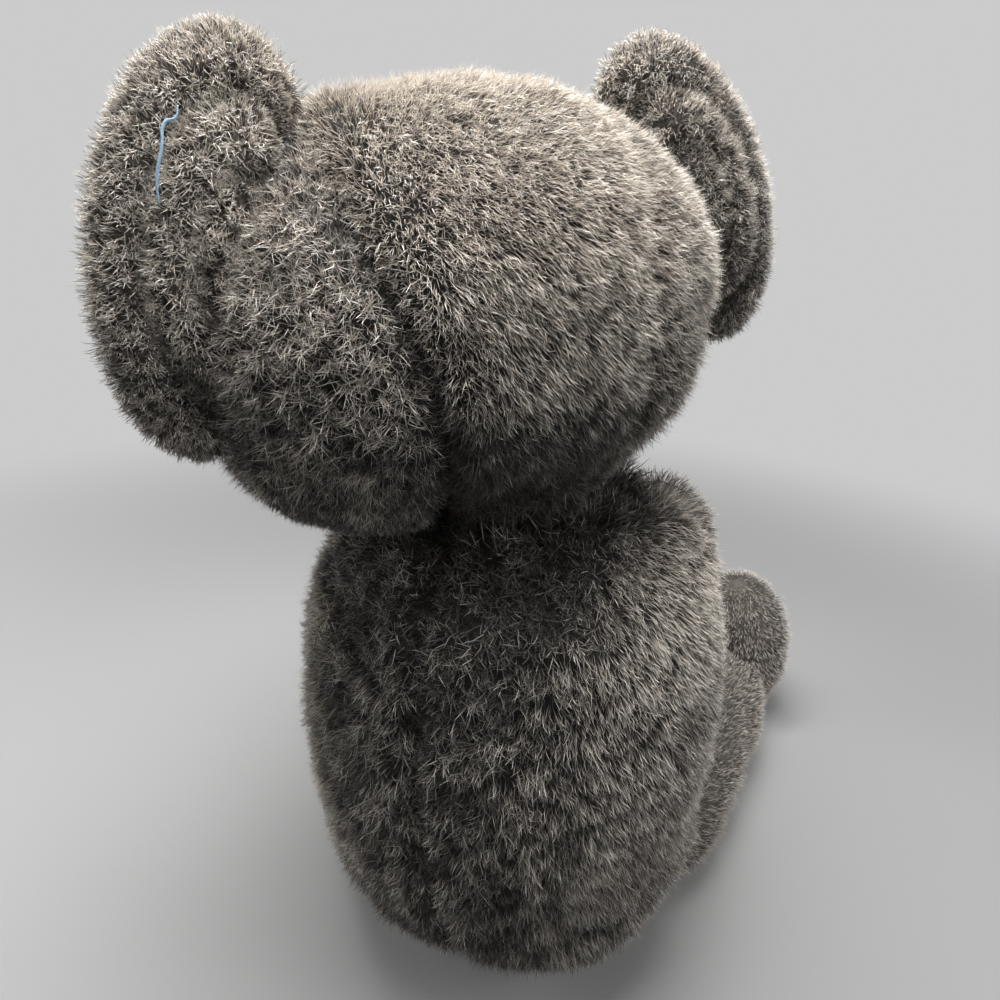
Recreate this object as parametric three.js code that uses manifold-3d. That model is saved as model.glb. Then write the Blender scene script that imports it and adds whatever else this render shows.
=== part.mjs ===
// A stuffed koala that sits on a flat surface with its legs stretched out in front.
// Millimetres, +Z up. The koala's body faces -Y and its own left side is +X.
// The origin is the middle of the flat under its seat.
// A bolt between two discs lets the head turn, and it is turned to the koala's left here.
// Soft pieces are drawn at the surface of the laid pile, a little inside the tips of the fur.

import * as THREE from 'three';
import { mergeVertices } from 'three/addons/utils/BufferGeometryUtils.js';
import Module from 'manifold-3d';

const wasm = await Module();
wasm.setup();

// Plush and clearances
const PLUSH_THICKNESS = 5;
const SHORT_PLUSH_THICKNESS = 3;
const GAP = 0.3;
const FLOOR_PRESS = 4;
const CUT_OVERRUN = 40;
const MERGE_DISTANCE = 0.0001;

// Torso
const TORSO_HALF_WIDTH = 98;
const TORSO_HALF_DEPTH = 94;
const TORSO_DROP = 143.5;
const TORSO_RISE = 122;
const TORSO_DROP_POWER = 2.15;
const TORSO_RISE_POWER = 2.8;

// Weighted bag in the seat
const PELLET_BAG_HALF_WIDTH = 44;
const PELLET_BAG_HALF_HEIGHT = 21;

// Pale panel on the belly
const BELLY_PANEL_HEIGHT = 168;
const BELLY_PANEL_HALF_WIDTH = 44;
const BELLY_PANEL_HALF_HEIGHT = 56;

// Neck joint
const NECK_SINK_DEPTH = 9.5;
const NECK_BEHIND_MIDDLE = 27;
const NECK_HOLE_RADIUS = 8;
const NECK_DISC_RADIUS = 21;
const NECK_DISC_THICKNESS = 4;
const NECK_WASHER_RADIUS = 12;
const NECK_WASHER_THICKNESS = 1.5;
const NECK_BOLT_RADIUS = 4;
const NECK_BOLT_HEAD_RADIUS = 8;
const NECK_BOLT_HEAD_HEIGHT = 5;
const NECK_NUT_RADIUS = 8;
const NECK_NUT_HEIGHT = 7;
const HEAD_TURN = THREE.MathUtils.degToRad(52);

// Skull
const SKULL_HALF_WIDTH = 100;
const SKULL_HALF_DEPTH = 84;
const SKULL_RISE = 81;
const SKULL_DROP = 76;
const SKULL_RISE_POWER = 2.1;
const SKULL_DROP_POWER = 2.8;
const SKULL_SINK_DEPTH = 8;
const NECK_FROM_BACK_OF_FLAT = 23.5;
const SKULL_TILT = THREE.MathUtils.degToRad(9);

// Face
const MUZZLE_HALF_WIDTH = 42;
const MUZZLE_HALF_DEPTH = 27;
const MUZZLE_HALF_HEIGHT = 30;
const MUZZLE_BELOW_MIDDLE = 30;
const MUZZLE_SINK_DEPTH = 12;
const NOSE_HALF_WIDTH = 17;
const NOSE_HALF_DEPTH = 15;
const NOSE_HALF_HEIGHT = 24;
const NOSE_BELOW_MIDDLE = 10;
const NOSE_PROUD_HEIGHT = 6;
const NOSE_STEM_RADIUS = 2.5;
const NOSE_WASHER_RADIUS = 11;
const EYE_RADIUS = 8.5;
const EYE_DOME_HEIGHT = 6;
const EYE_STEM_RADIUS = 2;
const EYE_STEM_LENGTH = 14;
const EYE_WASHER_RADIUS = 9;
const FACE_WASHER_THICKNESS = 1.6;
const EYE_TO_SIDE = THREE.MathUtils.degToRad(27);
const EYE_ABOVE_LEVEL = THREE.MathUtils.degToRad(9);

// Ears
const EAR_HALF_WIDTH = 31;
const EAR_HALF_THICKNESS = 15;
const EAR_HALF_HEIGHT = 57;
const EAR_FROM_MIDDLE = 84.5;
const EAR_BEHIND_MIDDLE = 26;
const EAR_ABOVE_MIDDLE = 35;
const EAR_SWEEP = THREE.MathUtils.degToRad(18);
const EAR_LEAN = THREE.MathUtils.degToRad(23.5);
const EAR_CUP_RADIUS = 90;
const EAR_CUP_DEPTH = 8;

// Arms
const ARM_TOP = new THREE.Vector3(54, -36, 247);
const ARM_END = new THREE.Vector3(54, -124, 94);
const ARM_TOP_RADIUS = 30;
const ARM_END_RADIUS = 27;
const ARM_END_POWER = 5;
const ARM_HINGE = new THREE.Vector3(54, -46, 232);
const ARM_SWING = THREE.MathUtils.degToRad(30);
const PAW_PAD_RADIUS = 19;
const PAW_PAD_FROM_END = 34;

// Legs
const LEG_HIP = new THREE.Vector3(60, -8, 48);
const LEG_HEEL = new THREE.Vector3(112, -228, 33);
const LEG_HIP_RADIUS = 50;
const LEG_HEEL_RADIUS = 34;
const LEG_END_POWER = 4;
const LEG_HINGE = new THREE.Vector3(46, -26, 3);
const LEG_SWING = THREE.MathUtils.degToRad(50);
const FOOT_FORWARD = 226;
const FOOT_FROM_MIDDLE = 105;
const FOOT_HALF_WIDTH = 40;
const FOOT_HALF_THICKNESS = 29;
const FOOT_HALF_HEIGHT = 62;
const SOLE_PAD_HALF_WIDTH = 27;
const SOLE_PAD_HALF_HEIGHT = 38;

// Counts of facets
const BIG_FORM_FACETS = { around: 24, along: 12 };
const LIMB_FACETS = { around: 16, along: 8 };
const SMALL_FORM_FACETS = { around: 16, along: 6 };
const ROUND_FACETS = 16;
const HEX_FACETS = 6;
const SWING_STEPS = 2;

// Finishes
const plush = (color) => new THREE.MeshStandardMaterial({ color, roughness: 0.95, metalness: 0 });
const greyPlush = plush(0x6f6861);
const creamPlush = plush(0xd8cfc0);
const tanPlush = plush(0x9a8672);
const wadding = plush(0xe9e7e2);
const bagCloth = plush(0xb9b3a8);
const blackPlastic = new THREE.MeshStandardMaterial({ color: 0x0d0c0b, roughness: 0.15, metalness: 0 });
const whitePlastic = new THREE.MeshStandardMaterial({ color: 0xe4e2dc, roughness: 0.5, metalness: 0 });
const fibreboard = new THREE.MeshStandardMaterial({ color: 0x7a5c3e, roughness: 0.8, metalness: 0 });
const zincSteel = new THREE.MeshStandardMaterial({ color: 0xa9abad, roughness: 0.35, metalness: 1 });

const koala = new THREE.Group();

// Booleans

function solidOf(geometry) {
  const bare = geometry.clone();
  bare.deleteAttribute('normal');
  bare.deleteAttribute('uv');
  const merged = mergeVertices(bare, MERGE_DISTANCE);
  const corners = merged.index.array;
  const kept = [];
  for (let i = 0; i < corners.length; i += 3) {
    const [a, b, c] = corners.slice(i, i + 3);
    if (a !== b && b !== c && c !== a) kept.push(a, b, c);
  }
  return new wasm.Manifold(new wasm.Mesh({
    numProp: 3,
    vertProperties: new Float32Array(merged.attributes.position.array),
    triVerts: new Uint32Array(kept),
  }));
}

function geometryOf(solid) {
  const mesh = solid.getMesh();
  const geometry = new THREE.BufferGeometry();
  geometry.setAttribute('position', new THREE.BufferAttribute(new Float32Array(mesh.vertProperties), 3));
  geometry.setIndex(new THREE.BufferAttribute(new Uint32Array(mesh.triVerts), 1));
  geometry.computeVertexNormals();
  return geometry;
}

function moved(solid, matrix) {
  return solidOf(geometryOf(solid).applyMatrix4(matrix));
}

function largest(solid) {
  return solid.decompose().reduce((best, piece) => (piece.volume() > best.volume() ? piece : best));
}

function addPiece(group, name, solid, material) {
  const mesh = new THREE.Mesh(geometryOf(solid), material);
  mesh.name = name;
  group.add(mesh);
  return mesh;
}

// Forms that swell and taper

// An egg whose upper and lower halves have their own height and curve. A curve of power 2 is an ellipse,
// and a higher power is boxier.
function egg({ halfWidth, halfDepth, rise, drop, risePower, dropPower, facets }, grow = 0) {
  const profile = [];
  for (let i = 0; i <= facets.along; i += 1) {
    const angle = Math.PI * (i / facets.along) - Math.PI / 2;
    const upper = angle > 0;
    const power = 2 / (upper ? risePower : dropPower);
    const onAxis = i === 0 || i === facets.along;
    const across = onAxis ? 0 : Math.cos(angle) ** power;
    const level = Math.sign(angle) * Math.abs(Math.sin(angle)) ** power;
    const height = upper ? rise : drop;
    profile.push(new THREE.Vector2(across * (halfWidth + grow), level * (height + grow)));
  }
  const geometry = new THREE.LatheGeometry(profile, facets.around);
  geometry.rotateX(Math.PI / 2);
  geometry.scale(1, (halfDepth + grow) / (halfWidth + grow), 1);
  return geometry;
}

function ellipsoid(halfWidth, halfDepth, halfHeight, facets = SMALL_FORM_FACETS) {
  const geometry = new THREE.SphereGeometry(1, facets.around, facets.along);
  geometry.rotateX(Math.PI / 2);
  geometry.scale(halfWidth, halfDepth, halfHeight);
  return geometry;
}

// A sausage from one point to another whose thickness changes evenly and whose ends are blunt and round.
function sausage({ from, to, fromRadius, toRadius, endPower, facets }, grow = 0) {
  const length = from.distanceTo(to);
  const profile = [];
  for (let i = 0; i <= facets.along; i += 1) {
    const turn = Math.PI * (i / facets.along);
    const share = (1 - Math.cos(turn)) / 2;
    const onAxis = i === 0 || i === facets.along;
    const fullness = onAxis ? 0 : (1 - Math.abs(2 * share - 1) ** endPower) ** (1 / 2);
    const radius = THREE.MathUtils.lerp(fromRadius, toRadius, share) + grow;
    profile.push(new THREE.Vector2(fullness * radius, -grow + share * (length + 2 * grow)));
  }
  const geometry = new THREE.LatheGeometry(profile, facets.around);
  const along = to.clone().sub(from).normalize();
  geometry.applyQuaternion(new THREE.Quaternion().setFromUnitVectors(new THREE.Vector3(0, 1, 0), along));
  geometry.translate(from.x, from.y, from.z);
  return geometry;
}

// Places that follow from the sizes

const torsoWidestHeight = TORSO_DROP - FLOOR_PRESS;
const neckHeight = torsoWidestHeight + TORSO_RISE - NECK_SINK_DEPTH;
const skullHeight = neckHeight + SKULL_DROP - SKULL_SINK_DEPTH;
const flatLevelShare = 1 - SKULL_SINK_DEPTH / SKULL_DROP;
const flatAcrossShare = (1 - flatLevelShare ** SKULL_DROP_POWER) ** (1 / SKULL_DROP_POWER);
const skullBeforeNeck = SKULL_HALF_DEPTH * flatAcrossShare - NECK_FROM_BACK_OF_FLAT;
const muzzleForward = SKULL_HALF_DEPTH - MUZZLE_SINK_DEPTH;
const noseForward = SKULL_HALF_DEPTH + NOSE_PROUD_HEIGHT;
const reach = TORSO_HALF_WIDTH + FOOT_FORWARD + skullHeight;

// Simple cutters

function cylinderUp(radius, bottom, top, facets = ROUND_FACETS) {
  const geometry = new THREE.CylinderGeometry(radius, radius, top - bottom, facets);
  geometry.rotateX(Math.PI / 2);
  geometry.translate(0, 0, (top + bottom) / 2);
  return geometry;
}

function slab(bottom, top) {
  const geometry = new THREE.BoxGeometry(2 * reach, 2 * reach, top - bottom);
  geometry.translate(0, 0, (top + bottom) / 2);
  return solidOf(geometry);
}

const belowFloor = slab(-reach, 0);
const belowLining = slab(-reach, PLUSH_THICKNESS);
const belowFilling = slab(-reach, PLUSH_THICKNESS + GAP);
const aboveNeck = slab(neckHeight - GAP, neckHeight - GAP + reach);
const belowNeck = slab(neckHeight - reach, neckHeight);

// Torso

const torsoForm = {
  halfWidth: TORSO_HALF_WIDTH,
  halfDepth: TORSO_HALF_DEPTH,
  rise: TORSO_RISE,
  drop: TORSO_DROP,
  risePower: TORSO_RISE_POWER,
  dropPower: TORSO_DROP_POWER,
  facets: BIG_FORM_FACETS,
};

function torsoSolid(grow) {
  return solidOf(egg(torsoForm, grow).translate(0, 0, torsoWidestHeight));
}

const torsoTop = neckHeight - GAP;
const lowerDiscTop = torsoTop - PLUSH_THICKNESS - GAP;
const lowerDiscBottom = lowerDiscTop - NECK_DISC_THICKNESS;
const lowerWasherTop = lowerDiscBottom - GAP;
const lowerWasherBottom = lowerWasherTop - NECK_WASHER_THICKNESS;
const boltHeadTop = lowerWasherBottom - GAP;
const boltHeadBottom = boltHeadTop - NECK_BOLT_HEAD_HEIGHT;
const upperDiscBottom = neckHeight + PLUSH_THICKNESS + GAP;
const upperDiscTop = upperDiscBottom + NECK_DISC_THICKNESS;
const upperWasherBottom = upperDiscTop + GAP;
const upperWasherTop = upperWasherBottom + NECK_WASHER_THICKNESS;
const nutBottom = upperWasherTop + GAP;
const nutTop = nutBottom + NECK_NUT_HEIGHT;
const boltTop = nutTop + NECK_BOLT_RADIUS / 2;

const fillingBottom = PLUSH_THICKNESS + GAP;
const grownTorso = torsoSolid(GAP).subtract(aboveNeck);

function onNeckAxis(geometry) {
  return solidOf(geometry.translate(0, NECK_BEHIND_MIDDLE, 0));
}

function pelletBag(grow) {
  const half = PELLET_BAG_HALF_WIDTH + grow;
  const form = ellipsoid(half, half, PELLET_BAG_HALF_HEIGHT + grow);
  return solidOf(form.translate(0, 0, fillingBottom + PELLET_BAG_HALF_HEIGHT));
}

function addTorso() {
  const filling = torsoSolid(-PLUSH_THICKNESS - GAP).intersect(slab(fillingBottom, lowerDiscTop));
  const hollow = torsoSolid(-PLUSH_THICKNESS).intersect(slab(PLUSH_THICKNESS, torsoTop - PLUSH_THICKNESS));
  const boltHole = onNeckAxis(cylinderUp(NECK_HOLE_RADIUS, lowerDiscBottom, torsoTop + CUT_OVERRUN));
  const outside = torsoSolid(0).intersect(slab(0, torsoTop));
  const cover = outside.subtract(hollow).subtract(boltHole);
  const jointPocket = onNeckAxis(
    cylinderUp(NECK_DISC_RADIUS + GAP, boltHeadBottom - GAP, torsoTop + CUT_OVERRUN),
  );
  const bag = pelletBag(0).intersect(filling);
  addPiece(koala, 'torso_cover', cover, greyPlush);
  const wad = filling.subtract(jointPocket).subtract(pelletBag(GAP));
  addPiece(koala, 'torso_stuffing', largest(wad), wadding);
  addPiece(koala, 'seat_pellet_bag', bag, bagCloth);
}

// The front of the torso inside the panel's outline, drawn out to a height above the torso's plush.
function bellyMound(height, grow) {
  const outline = new THREE.CylinderGeometry(1, 1, TORSO_HALF_DEPTH + CUT_OVERRUN, ROUND_FACETS);
  outline.scale(BELLY_PANEL_HALF_WIDTH + grow, 1, BELLY_PANEL_HALF_HEIGHT + grow);
  outline.translate(0, -(TORSO_HALF_DEPTH + CUT_OVERRUN) / 2, BELLY_PANEL_HEIGHT);
  return torsoSolid(height).intersect(solidOf(outline));
}

function addBellyPanel() {
  const panel = bellyMound(GAP + SHORT_PLUSH_THICKNESS, 0).subtract(grownTorso);
  addPiece(koala, 'belly_panel', largest(panel), creamPlush);
}

// Neck joint

function ring(outer, inner, bottom, top, facets = ROUND_FACETS) {
  const hole = cylinderUp(inner, bottom - CUT_OVERRUN, top + CUT_OVERRUN);
  return solidOf(cylinderUp(outer, bottom, top, facets)).subtract(solidOf(hole));
}

const headGroup = new THREE.Group();
headGroup.position.y = NECK_BEHIND_MIDDLE;
headGroup.rotation.z = HEAD_TURN;
koala.add(headGroup);

function addNeckJoint() {
  const hole = NECK_BOLT_RADIUS + GAP;
  const shank = solidOf(cylinderUp(NECK_BOLT_RADIUS, boltHeadTop - GAP, boltTop));
  const head = solidOf(cylinderUp(NECK_BOLT_HEAD_RADIUS, boltHeadBottom, boltHeadTop, HEX_FACETS));
  const torsoSide = new THREE.Group();
  torsoSide.position.y = NECK_BEHIND_MIDDLE;
  koala.add(torsoSide);
  addPiece(torsoSide, 'neck_bolt', head.add(shank), zincSteel);
  const lowerDisc = ring(NECK_DISC_RADIUS, hole, lowerDiscBottom, lowerDiscTop);
  addPiece(torsoSide, 'neck_disc_lower', lowerDisc, fibreboard);
  const lowerWasher = ring(NECK_WASHER_RADIUS, hole, lowerWasherBottom, lowerWasherTop);
  addPiece(torsoSide, 'neck_washer_lower', lowerWasher, zincSteel);
  const upperDisc = ring(NECK_DISC_RADIUS, hole, upperDiscBottom, upperDiscTop);
  addPiece(headGroup, 'neck_disc_upper', upperDisc, fibreboard);
  const upperWasher = ring(NECK_WASHER_RADIUS, hole, upperWasherBottom, upperWasherTop);
  addPiece(headGroup, 'neck_washer_upper', upperWasher, zincSteel);
  const nut = ring(NECK_NUT_RADIUS, hole, nutBottom, nutTop, HEX_FACETS);
  addPiece(torsoSide, 'neck_lock_nut', nut, zincSteel);
}

// Head, drawn about the middle of the skull

const skullGroup = new THREE.Group();
skullGroup.position.set(0, -skullBeforeNeck, skullHeight);
skullGroup.rotation.y = SKULL_TILT;
headGroup.add(skullGroup);
skullGroup.updateMatrix();
const intoSkull = skullGroup.matrix.clone().invert();

const skullForm = {
  halfWidth: SKULL_HALF_WIDTH,
  halfDepth: SKULL_HALF_DEPTH,
  rise: SKULL_RISE,
  drop: SKULL_DROP,
  risePower: SKULL_RISE_POWER,
  dropPower: SKULL_DROP_POWER,
  facets: BIG_FORM_FACETS,
};

function skullSolid(grow) {
  return solidOf(egg(skullForm, grow));
}

const grownSkull = skullSolid(GAP);

// The distance from the skull's middle to its surface along a direction.
function skullReach(direction) {
  const power = direction.z > 0 ? SKULL_RISE_POWER : SKULL_DROP_POWER;
  const height = direction.z > 0 ? SKULL_RISE : SKULL_DROP;
  const across = Math.hypot(direction.x / SKULL_HALF_WIDTH, direction.y / SKULL_HALF_DEPTH);
  return (across ** power + Math.abs(direction.z / height) ** power) ** (-1 / power);
}

// A frame whose origin is on the skull's surface along a direction and whose +Z is square to the surface.
function faceFrame(direction) {
  const place = direction.clone().multiplyScalar(skullReach(direction));
  const power = place.z > 0 ? SKULL_RISE_POWER : SKULL_DROP_POWER;
  const height = place.z > 0 ? SKULL_RISE : SKULL_DROP;
  const across = Math.hypot(place.x / SKULL_HALF_WIDTH, place.y / SKULL_HALF_DEPTH) ** (power - 2);
  const outwards = new THREE.Vector3(
    across * place.x / SKULL_HALF_WIDTH ** 2,
    across * place.y / SKULL_HALF_DEPTH ** 2,
    Math.sign(place.z) * Math.abs(place.z / height) ** (power - 1) / height,
  ).normalize();
  const frame = new THREE.Group();
  frame.position.copy(place);
  frame.quaternion.setFromUnitVectors(new THREE.Vector3(0, 0, 1), outwards);
  frame.updateMatrix();
  return frame;
}

function eyeDirection(side) {
  return new THREE.Vector3(
    side * Math.sin(EYE_TO_SIDE) * Math.cos(EYE_ABOVE_LEVEL),
    -Math.cos(EYE_TO_SIDE) * Math.cos(EYE_ABOVE_LEVEL),
    Math.sin(EYE_ABOVE_LEVEL),
  );
}

const sides = { left: 1, right: -1 };
const eyeFrames = Object.values(sides).map((side) => faceFrame(eyeDirection(side)));

// How far the faceted surface falls away from a flat disc of this radius.
const facetFall = SKULL_HALF_WIDTH * (1 - Math.cos(Math.PI / BIG_FORM_FACETS.around));
const fallUnder = (radius) => radius ** 2 / SKULL_RISE + facetFall;
const eyeBack = GAP;
const eyeWasherTop = -PLUSH_THICKNESS - GAP - fallUnder(EYE_WASHER_RADIUS);
const eyeWasherBottom = eyeWasherTop - FACE_WASHER_THICKNESS;

function muzzleSolid(grow) {
  const form = ellipsoid(MUZZLE_HALF_WIDTH + grow, MUZZLE_HALF_DEPTH + grow, MUZZLE_HALF_HEIGHT + grow);
  return solidOf(form.translate(0, -muzzleForward, -MUZZLE_BELOW_MIDDLE));
}

function noseStem(radius, front, back) {
  const geometry = new THREE.CylinderGeometry(radius, radius, back - front, ROUND_FACETS);
  geometry.translate(0, (front + back) / 2, -NOSE_BELOW_MIDDLE);
  return solidOf(geometry);
}

const noseWasherFront = -SKULL_HALF_DEPTH + PLUSH_THICKNESS + GAP + fallUnder(NOSE_WASHER_RADIUS);
const noseWasherBack = noseWasherFront + FACE_WASHER_THICKNESS;
const noseStemBack = noseWasherBack + EYE_STEM_RADIUS;

function addHead() {
  const neckCutter = moved(belowNeck, intoSkull);
  const innerCutter = (height) => moved(slab(height - reach, height), intoSkull);
  const neckBore = (radius, bottom, top) => moved(solidOf(cylinderUp(radius, bottom, top)), intoSkull);
  const hollow = skullSolid(-PLUSH_THICKNESS).subtract(innerCutter(neckHeight + PLUSH_THICKNESS));
  let cover = skullSolid(0).subtract(neckCutter).subtract(hollow);
  cover = cover.subtract(neckBore(NECK_HOLE_RADIUS, neckHeight - CUT_OVERRUN, upperDiscTop));
  cover = cover.subtract(noseStem(NOSE_STEM_RADIUS + GAP, -SKULL_HALF_DEPTH - CUT_OVERRUN, noseStemBack));
  let filling = skullSolid(-PLUSH_THICKNESS - GAP).subtract(innerCutter(upperDiscBottom));
  filling = filling.subtract(neckBore(NECK_DISC_RADIUS + GAP, neckHeight - CUT_OVERRUN, boltTop + GAP));
  filling = filling.subtract(noseStem(NOSE_WASHER_RADIUS + GAP, -SKULL_HALF_DEPTH, noseStemBack + GAP));
  for (const frame of eyeFrames) {
    const stemHole = solidOf(cylinderUp(EYE_STEM_RADIUS + GAP, eyeWasherBottom, EYE_DOME_HEIGHT));
    cover = cover.subtract(moved(stemHole, frame.matrix));
    const pocket = solidOf(cylinderUp(EYE_WASHER_RADIUS + GAP, -EYE_STEM_LENGTH - GAP, 0));
    filling = filling.subtract(moved(pocket, frame.matrix));
  }
  addPiece(skullGroup, 'head_cover', cover, greyPlush);
  addPiece(skullGroup, 'head_stuffing', filling, wadding);
}

function addMuzzleAndNose() {
  const stemHole = noseStem(NOSE_STEM_RADIUS + GAP, -noseForward - CUT_OVERRUN, 0);
  const muzzle = muzzleSolid(0).subtract(grownSkull).subtract(moved(belowNeck, intoSkull));
  addPiece(skullGroup, 'muzzle', largest(muzzle.subtract(stemHole)), creamPlush);
  const pad = ellipsoid(NOSE_HALF_WIDTH, NOSE_HALF_DEPTH, NOSE_HALF_HEIGHT);
  const button = solidOf(pad.translate(0, -noseForward, -NOSE_BELOW_MIDDLE));
  const shaped = largest(button.subtract(grownSkull).subtract(muzzleSolid(GAP)));
  const nose = shaped.add(noseStem(NOSE_STEM_RADIUS, -noseForward, noseStemBack));
  addPiece(skullGroup, 'nose', nose, blackPlastic);
  const washer = noseStem(NOSE_WASHER_RADIUS, noseWasherFront, noseWasherBack);
  const bore = noseStem(NOSE_STEM_RADIUS + GAP, noseWasherFront - GAP, noseWasherBack + GAP);
  addPiece(skullGroup, 'nose_washer', washer.subtract(bore), whitePlastic);
}

function eyeProfile() {
  const profile = [new THREE.Vector2(0, -EYE_STEM_LENGTH)];
  profile.push(new THREE.Vector2(EYE_STEM_RADIUS, -EYE_STEM_LENGTH));
  profile.push(new THREE.Vector2(EYE_STEM_RADIUS, eyeBack));
  const steps = SMALL_FORM_FACETS.along / 2;
  for (let i = 0; i <= steps; i += 1) {
    const angle = (Math.PI / 2) * (i / steps);
    const across = i === steps ? 0 : EYE_RADIUS * Math.cos(angle);
    profile.push(new THREE.Vector2(across, eyeBack + EYE_DOME_HEIGHT * Math.sin(angle)));
  }
  return profile;
}

function addEyes() {
  Object.keys(sides).forEach((name, index) => {
    const frame = eyeFrames[index];
    skullGroup.add(frame);
    const eye = new THREE.LatheGeometry(eyeProfile(), ROUND_FACETS).rotateX(Math.PI / 2);
    addPiece(frame, `eye_${name}`, solidOf(eye), blackPlastic);
    const washer = ring(EYE_WASHER_RADIUS, EYE_STEM_RADIUS + GAP, eyeWasherBottom, eyeWasherTop);
    addPiece(frame, `eye_washer_${name}`, washer, whitePlastic);
  });
}

// Each ear is a grey back and a pale lining, dished at the front, sewn to the side of the head.
function addEars() {
  for (const [name, side] of Object.entries(sides)) {
    const ear = new THREE.Group();
    ear.position.set(side * EAR_FROM_MIDDLE, EAR_BEHIND_MIDDLE, EAR_ABOVE_MIDDLE);
    ear.rotation.set(0, -side * EAR_LEAN, side * EAR_SWEEP, 'ZYX');
    skullGroup.add(ear);
    ear.updateMatrix();
    const skullHere = moved(grownSkull, ear.matrix.clone().invert());
    const whole = solidOf(ellipsoid(EAR_HALF_WIDTH, EAR_HALF_THICKNESS, EAR_HALF_HEIGHT, LIMB_FACETS));
    const size = 2 * (EAR_HALF_HEIGHT + CUT_OVERRUN);
    const half = (from) => solidOf(new THREE.BoxGeometry(size, size, size).translate(0, from + size / 2, 0));
    const dish = new THREE.SphereGeometry(EAR_CUP_RADIUS, ...Object.values(BIG_FORM_FACETS));
    dish.translate(0, -EAR_HALF_THICKNESS - EAR_CUP_RADIUS + EAR_CUP_DEPTH, 0);
    const back = whole.intersect(half(GAP / 2)).subtract(skullHere);
    const lining = whole.subtract(half(-GAP / 2)).subtract(skullHere).subtract(solidOf(dish));
    addPiece(ear, `ear_back_${name}`, largest(back), greyPlush);
    addPiece(ear, `ear_lining_${name}`, largest(lining), creamPlush);
  }
}

// Limbs

function onSide(point, side) {
  return new THREE.Vector3(side * point.x, point.y, point.z);
}

function turnAbout(pivot, axis, angle) {
  const matrix = new THREE.Matrix4().makeTranslation(pivot.x, pivot.y, pivot.z);
  matrix.multiply(new THREE.Matrix4().makeRotationAxis(axis, angle));
  return matrix.multiply(new THREE.Matrix4().makeTranslation(-pivot.x, -pivot.y, -pivot.z));
}

const torsoInTheWay = grownTorso.add(bellyMound(GAP + SHORT_PLUSH_THICKNESS + GAP, GAP));

// What is left of a limb once the torso has room beside it through the whole swing.
function clearOfTorso(limb, pivot, axis, swing) {
  let clear = limb.subtract(torsoInTheWay);
  for (let i = 1; i <= SWING_STEPS; i += 1) {
    clear = clear.subtract(moved(torsoInTheWay, turnAbout(pivot, axis, -swing * (i / SWING_STEPS))));
  }
  return largest(clear);
}

function addArm(name, side) {
  const form = {
    from: onSide(ARM_TOP, side),
    to: onSide(ARM_END, side),
    fromRadius: ARM_TOP_RADIUS,
    toRadius: ARM_END_RADIUS,
    endPower: ARM_END_POWER,
    facets: LIMB_FACETS,
  };
  const pivot = onSide(ARM_HINGE, side);
  const axis = new THREE.Vector3(-1, 0, 0);
  const clear = (solid) => clearOfTorso(solid.subtract(aboveNeck), pivot, axis, ARM_SWING);
  const arm = clear(solidOf(sausage(form)));
  const cover = arm.subtract(solidOf(sausage(form, -PLUSH_THICKNESS)));
  addPiece(koala, `arm_cover_${name}`, largest(cover), greyPlush);
  addPiece(koala, `arm_stuffing_${name}`, clear(solidOf(sausage(form, -PLUSH_THICKNESS - GAP))), wadding);
  const inwards = form.to.clone().lerp(form.from, PAW_PAD_FROM_END / form.to.distanceTo(form.from));
  const region = new THREE.SphereGeometry(PAW_PAD_RADIUS, ...Object.values(LIMB_FACETS));
  region.translate(inwards.x, inwards.y + ARM_END_RADIUS, inwards.z);
  const skin = solidOf(sausage(form, GAP + SHORT_PLUSH_THICKNESS)).subtract(solidOf(sausage(form, GAP)));
  addPiece(koala, `paw_pad_${name}`, clear(skin.intersect(solidOf(region))), tanPlush);
}

function thighSolid(side, grow) {
  return solidOf(sausage({
    from: onSide(LEG_HIP, side),
    to: onSide(LEG_HEEL, side),
    fromRadius: LEG_HIP_RADIUS,
    toRadius: LEG_HEEL_RADIUS,
    endPower: LEG_END_POWER,
    facets: LIMB_FACETS,
  }, grow));
}

function legDirection(side) {
  return onSide(LEG_HEEL, side).sub(onSide(LEG_HIP, side)).setZ(0).normalize();
}

function footSolid(side, grow) {
  const halfSizes = [FOOT_HALF_WIDTH, FOOT_HALF_THICKNESS, FOOT_HALF_HEIGHT].map((half) => half + grow);
  const foot = ellipsoid(...halfSizes, LIMB_FACETS);
  const direction = legDirection(side);
  foot.rotateZ(Math.atan2(direction.x, -direction.y));
  foot.translate(side * FOOT_FROM_MIDDLE, -FOOT_FORWARD, FOOT_HALF_HEIGHT - FLOOR_PRESS);
  return solidOf(foot);
}

function addLeg(name, side) {
  const pivot = onSide(LEG_HINGE, side);
  const axis = new THREE.Vector3(0, 0, 1).cross(legDirection(side));
  const clear = (solid) => clearOfTorso(solid, pivot, axis, LEG_SWING);
  const leg = clear(thighSolid(side, 0).subtract(belowFloor));
  const cover = leg.subtract(thighSolid(side, -PLUSH_THICKNESS).subtract(belowLining));
  addPiece(koala, `leg_cover_${name}`, largest(cover), greyPlush);
  const filling = thighSolid(side, -PLUSH_THICKNESS - GAP).subtract(belowFilling);
  addPiece(koala, `leg_stuffing_${name}`, clear(filling), wadding);
}

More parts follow.
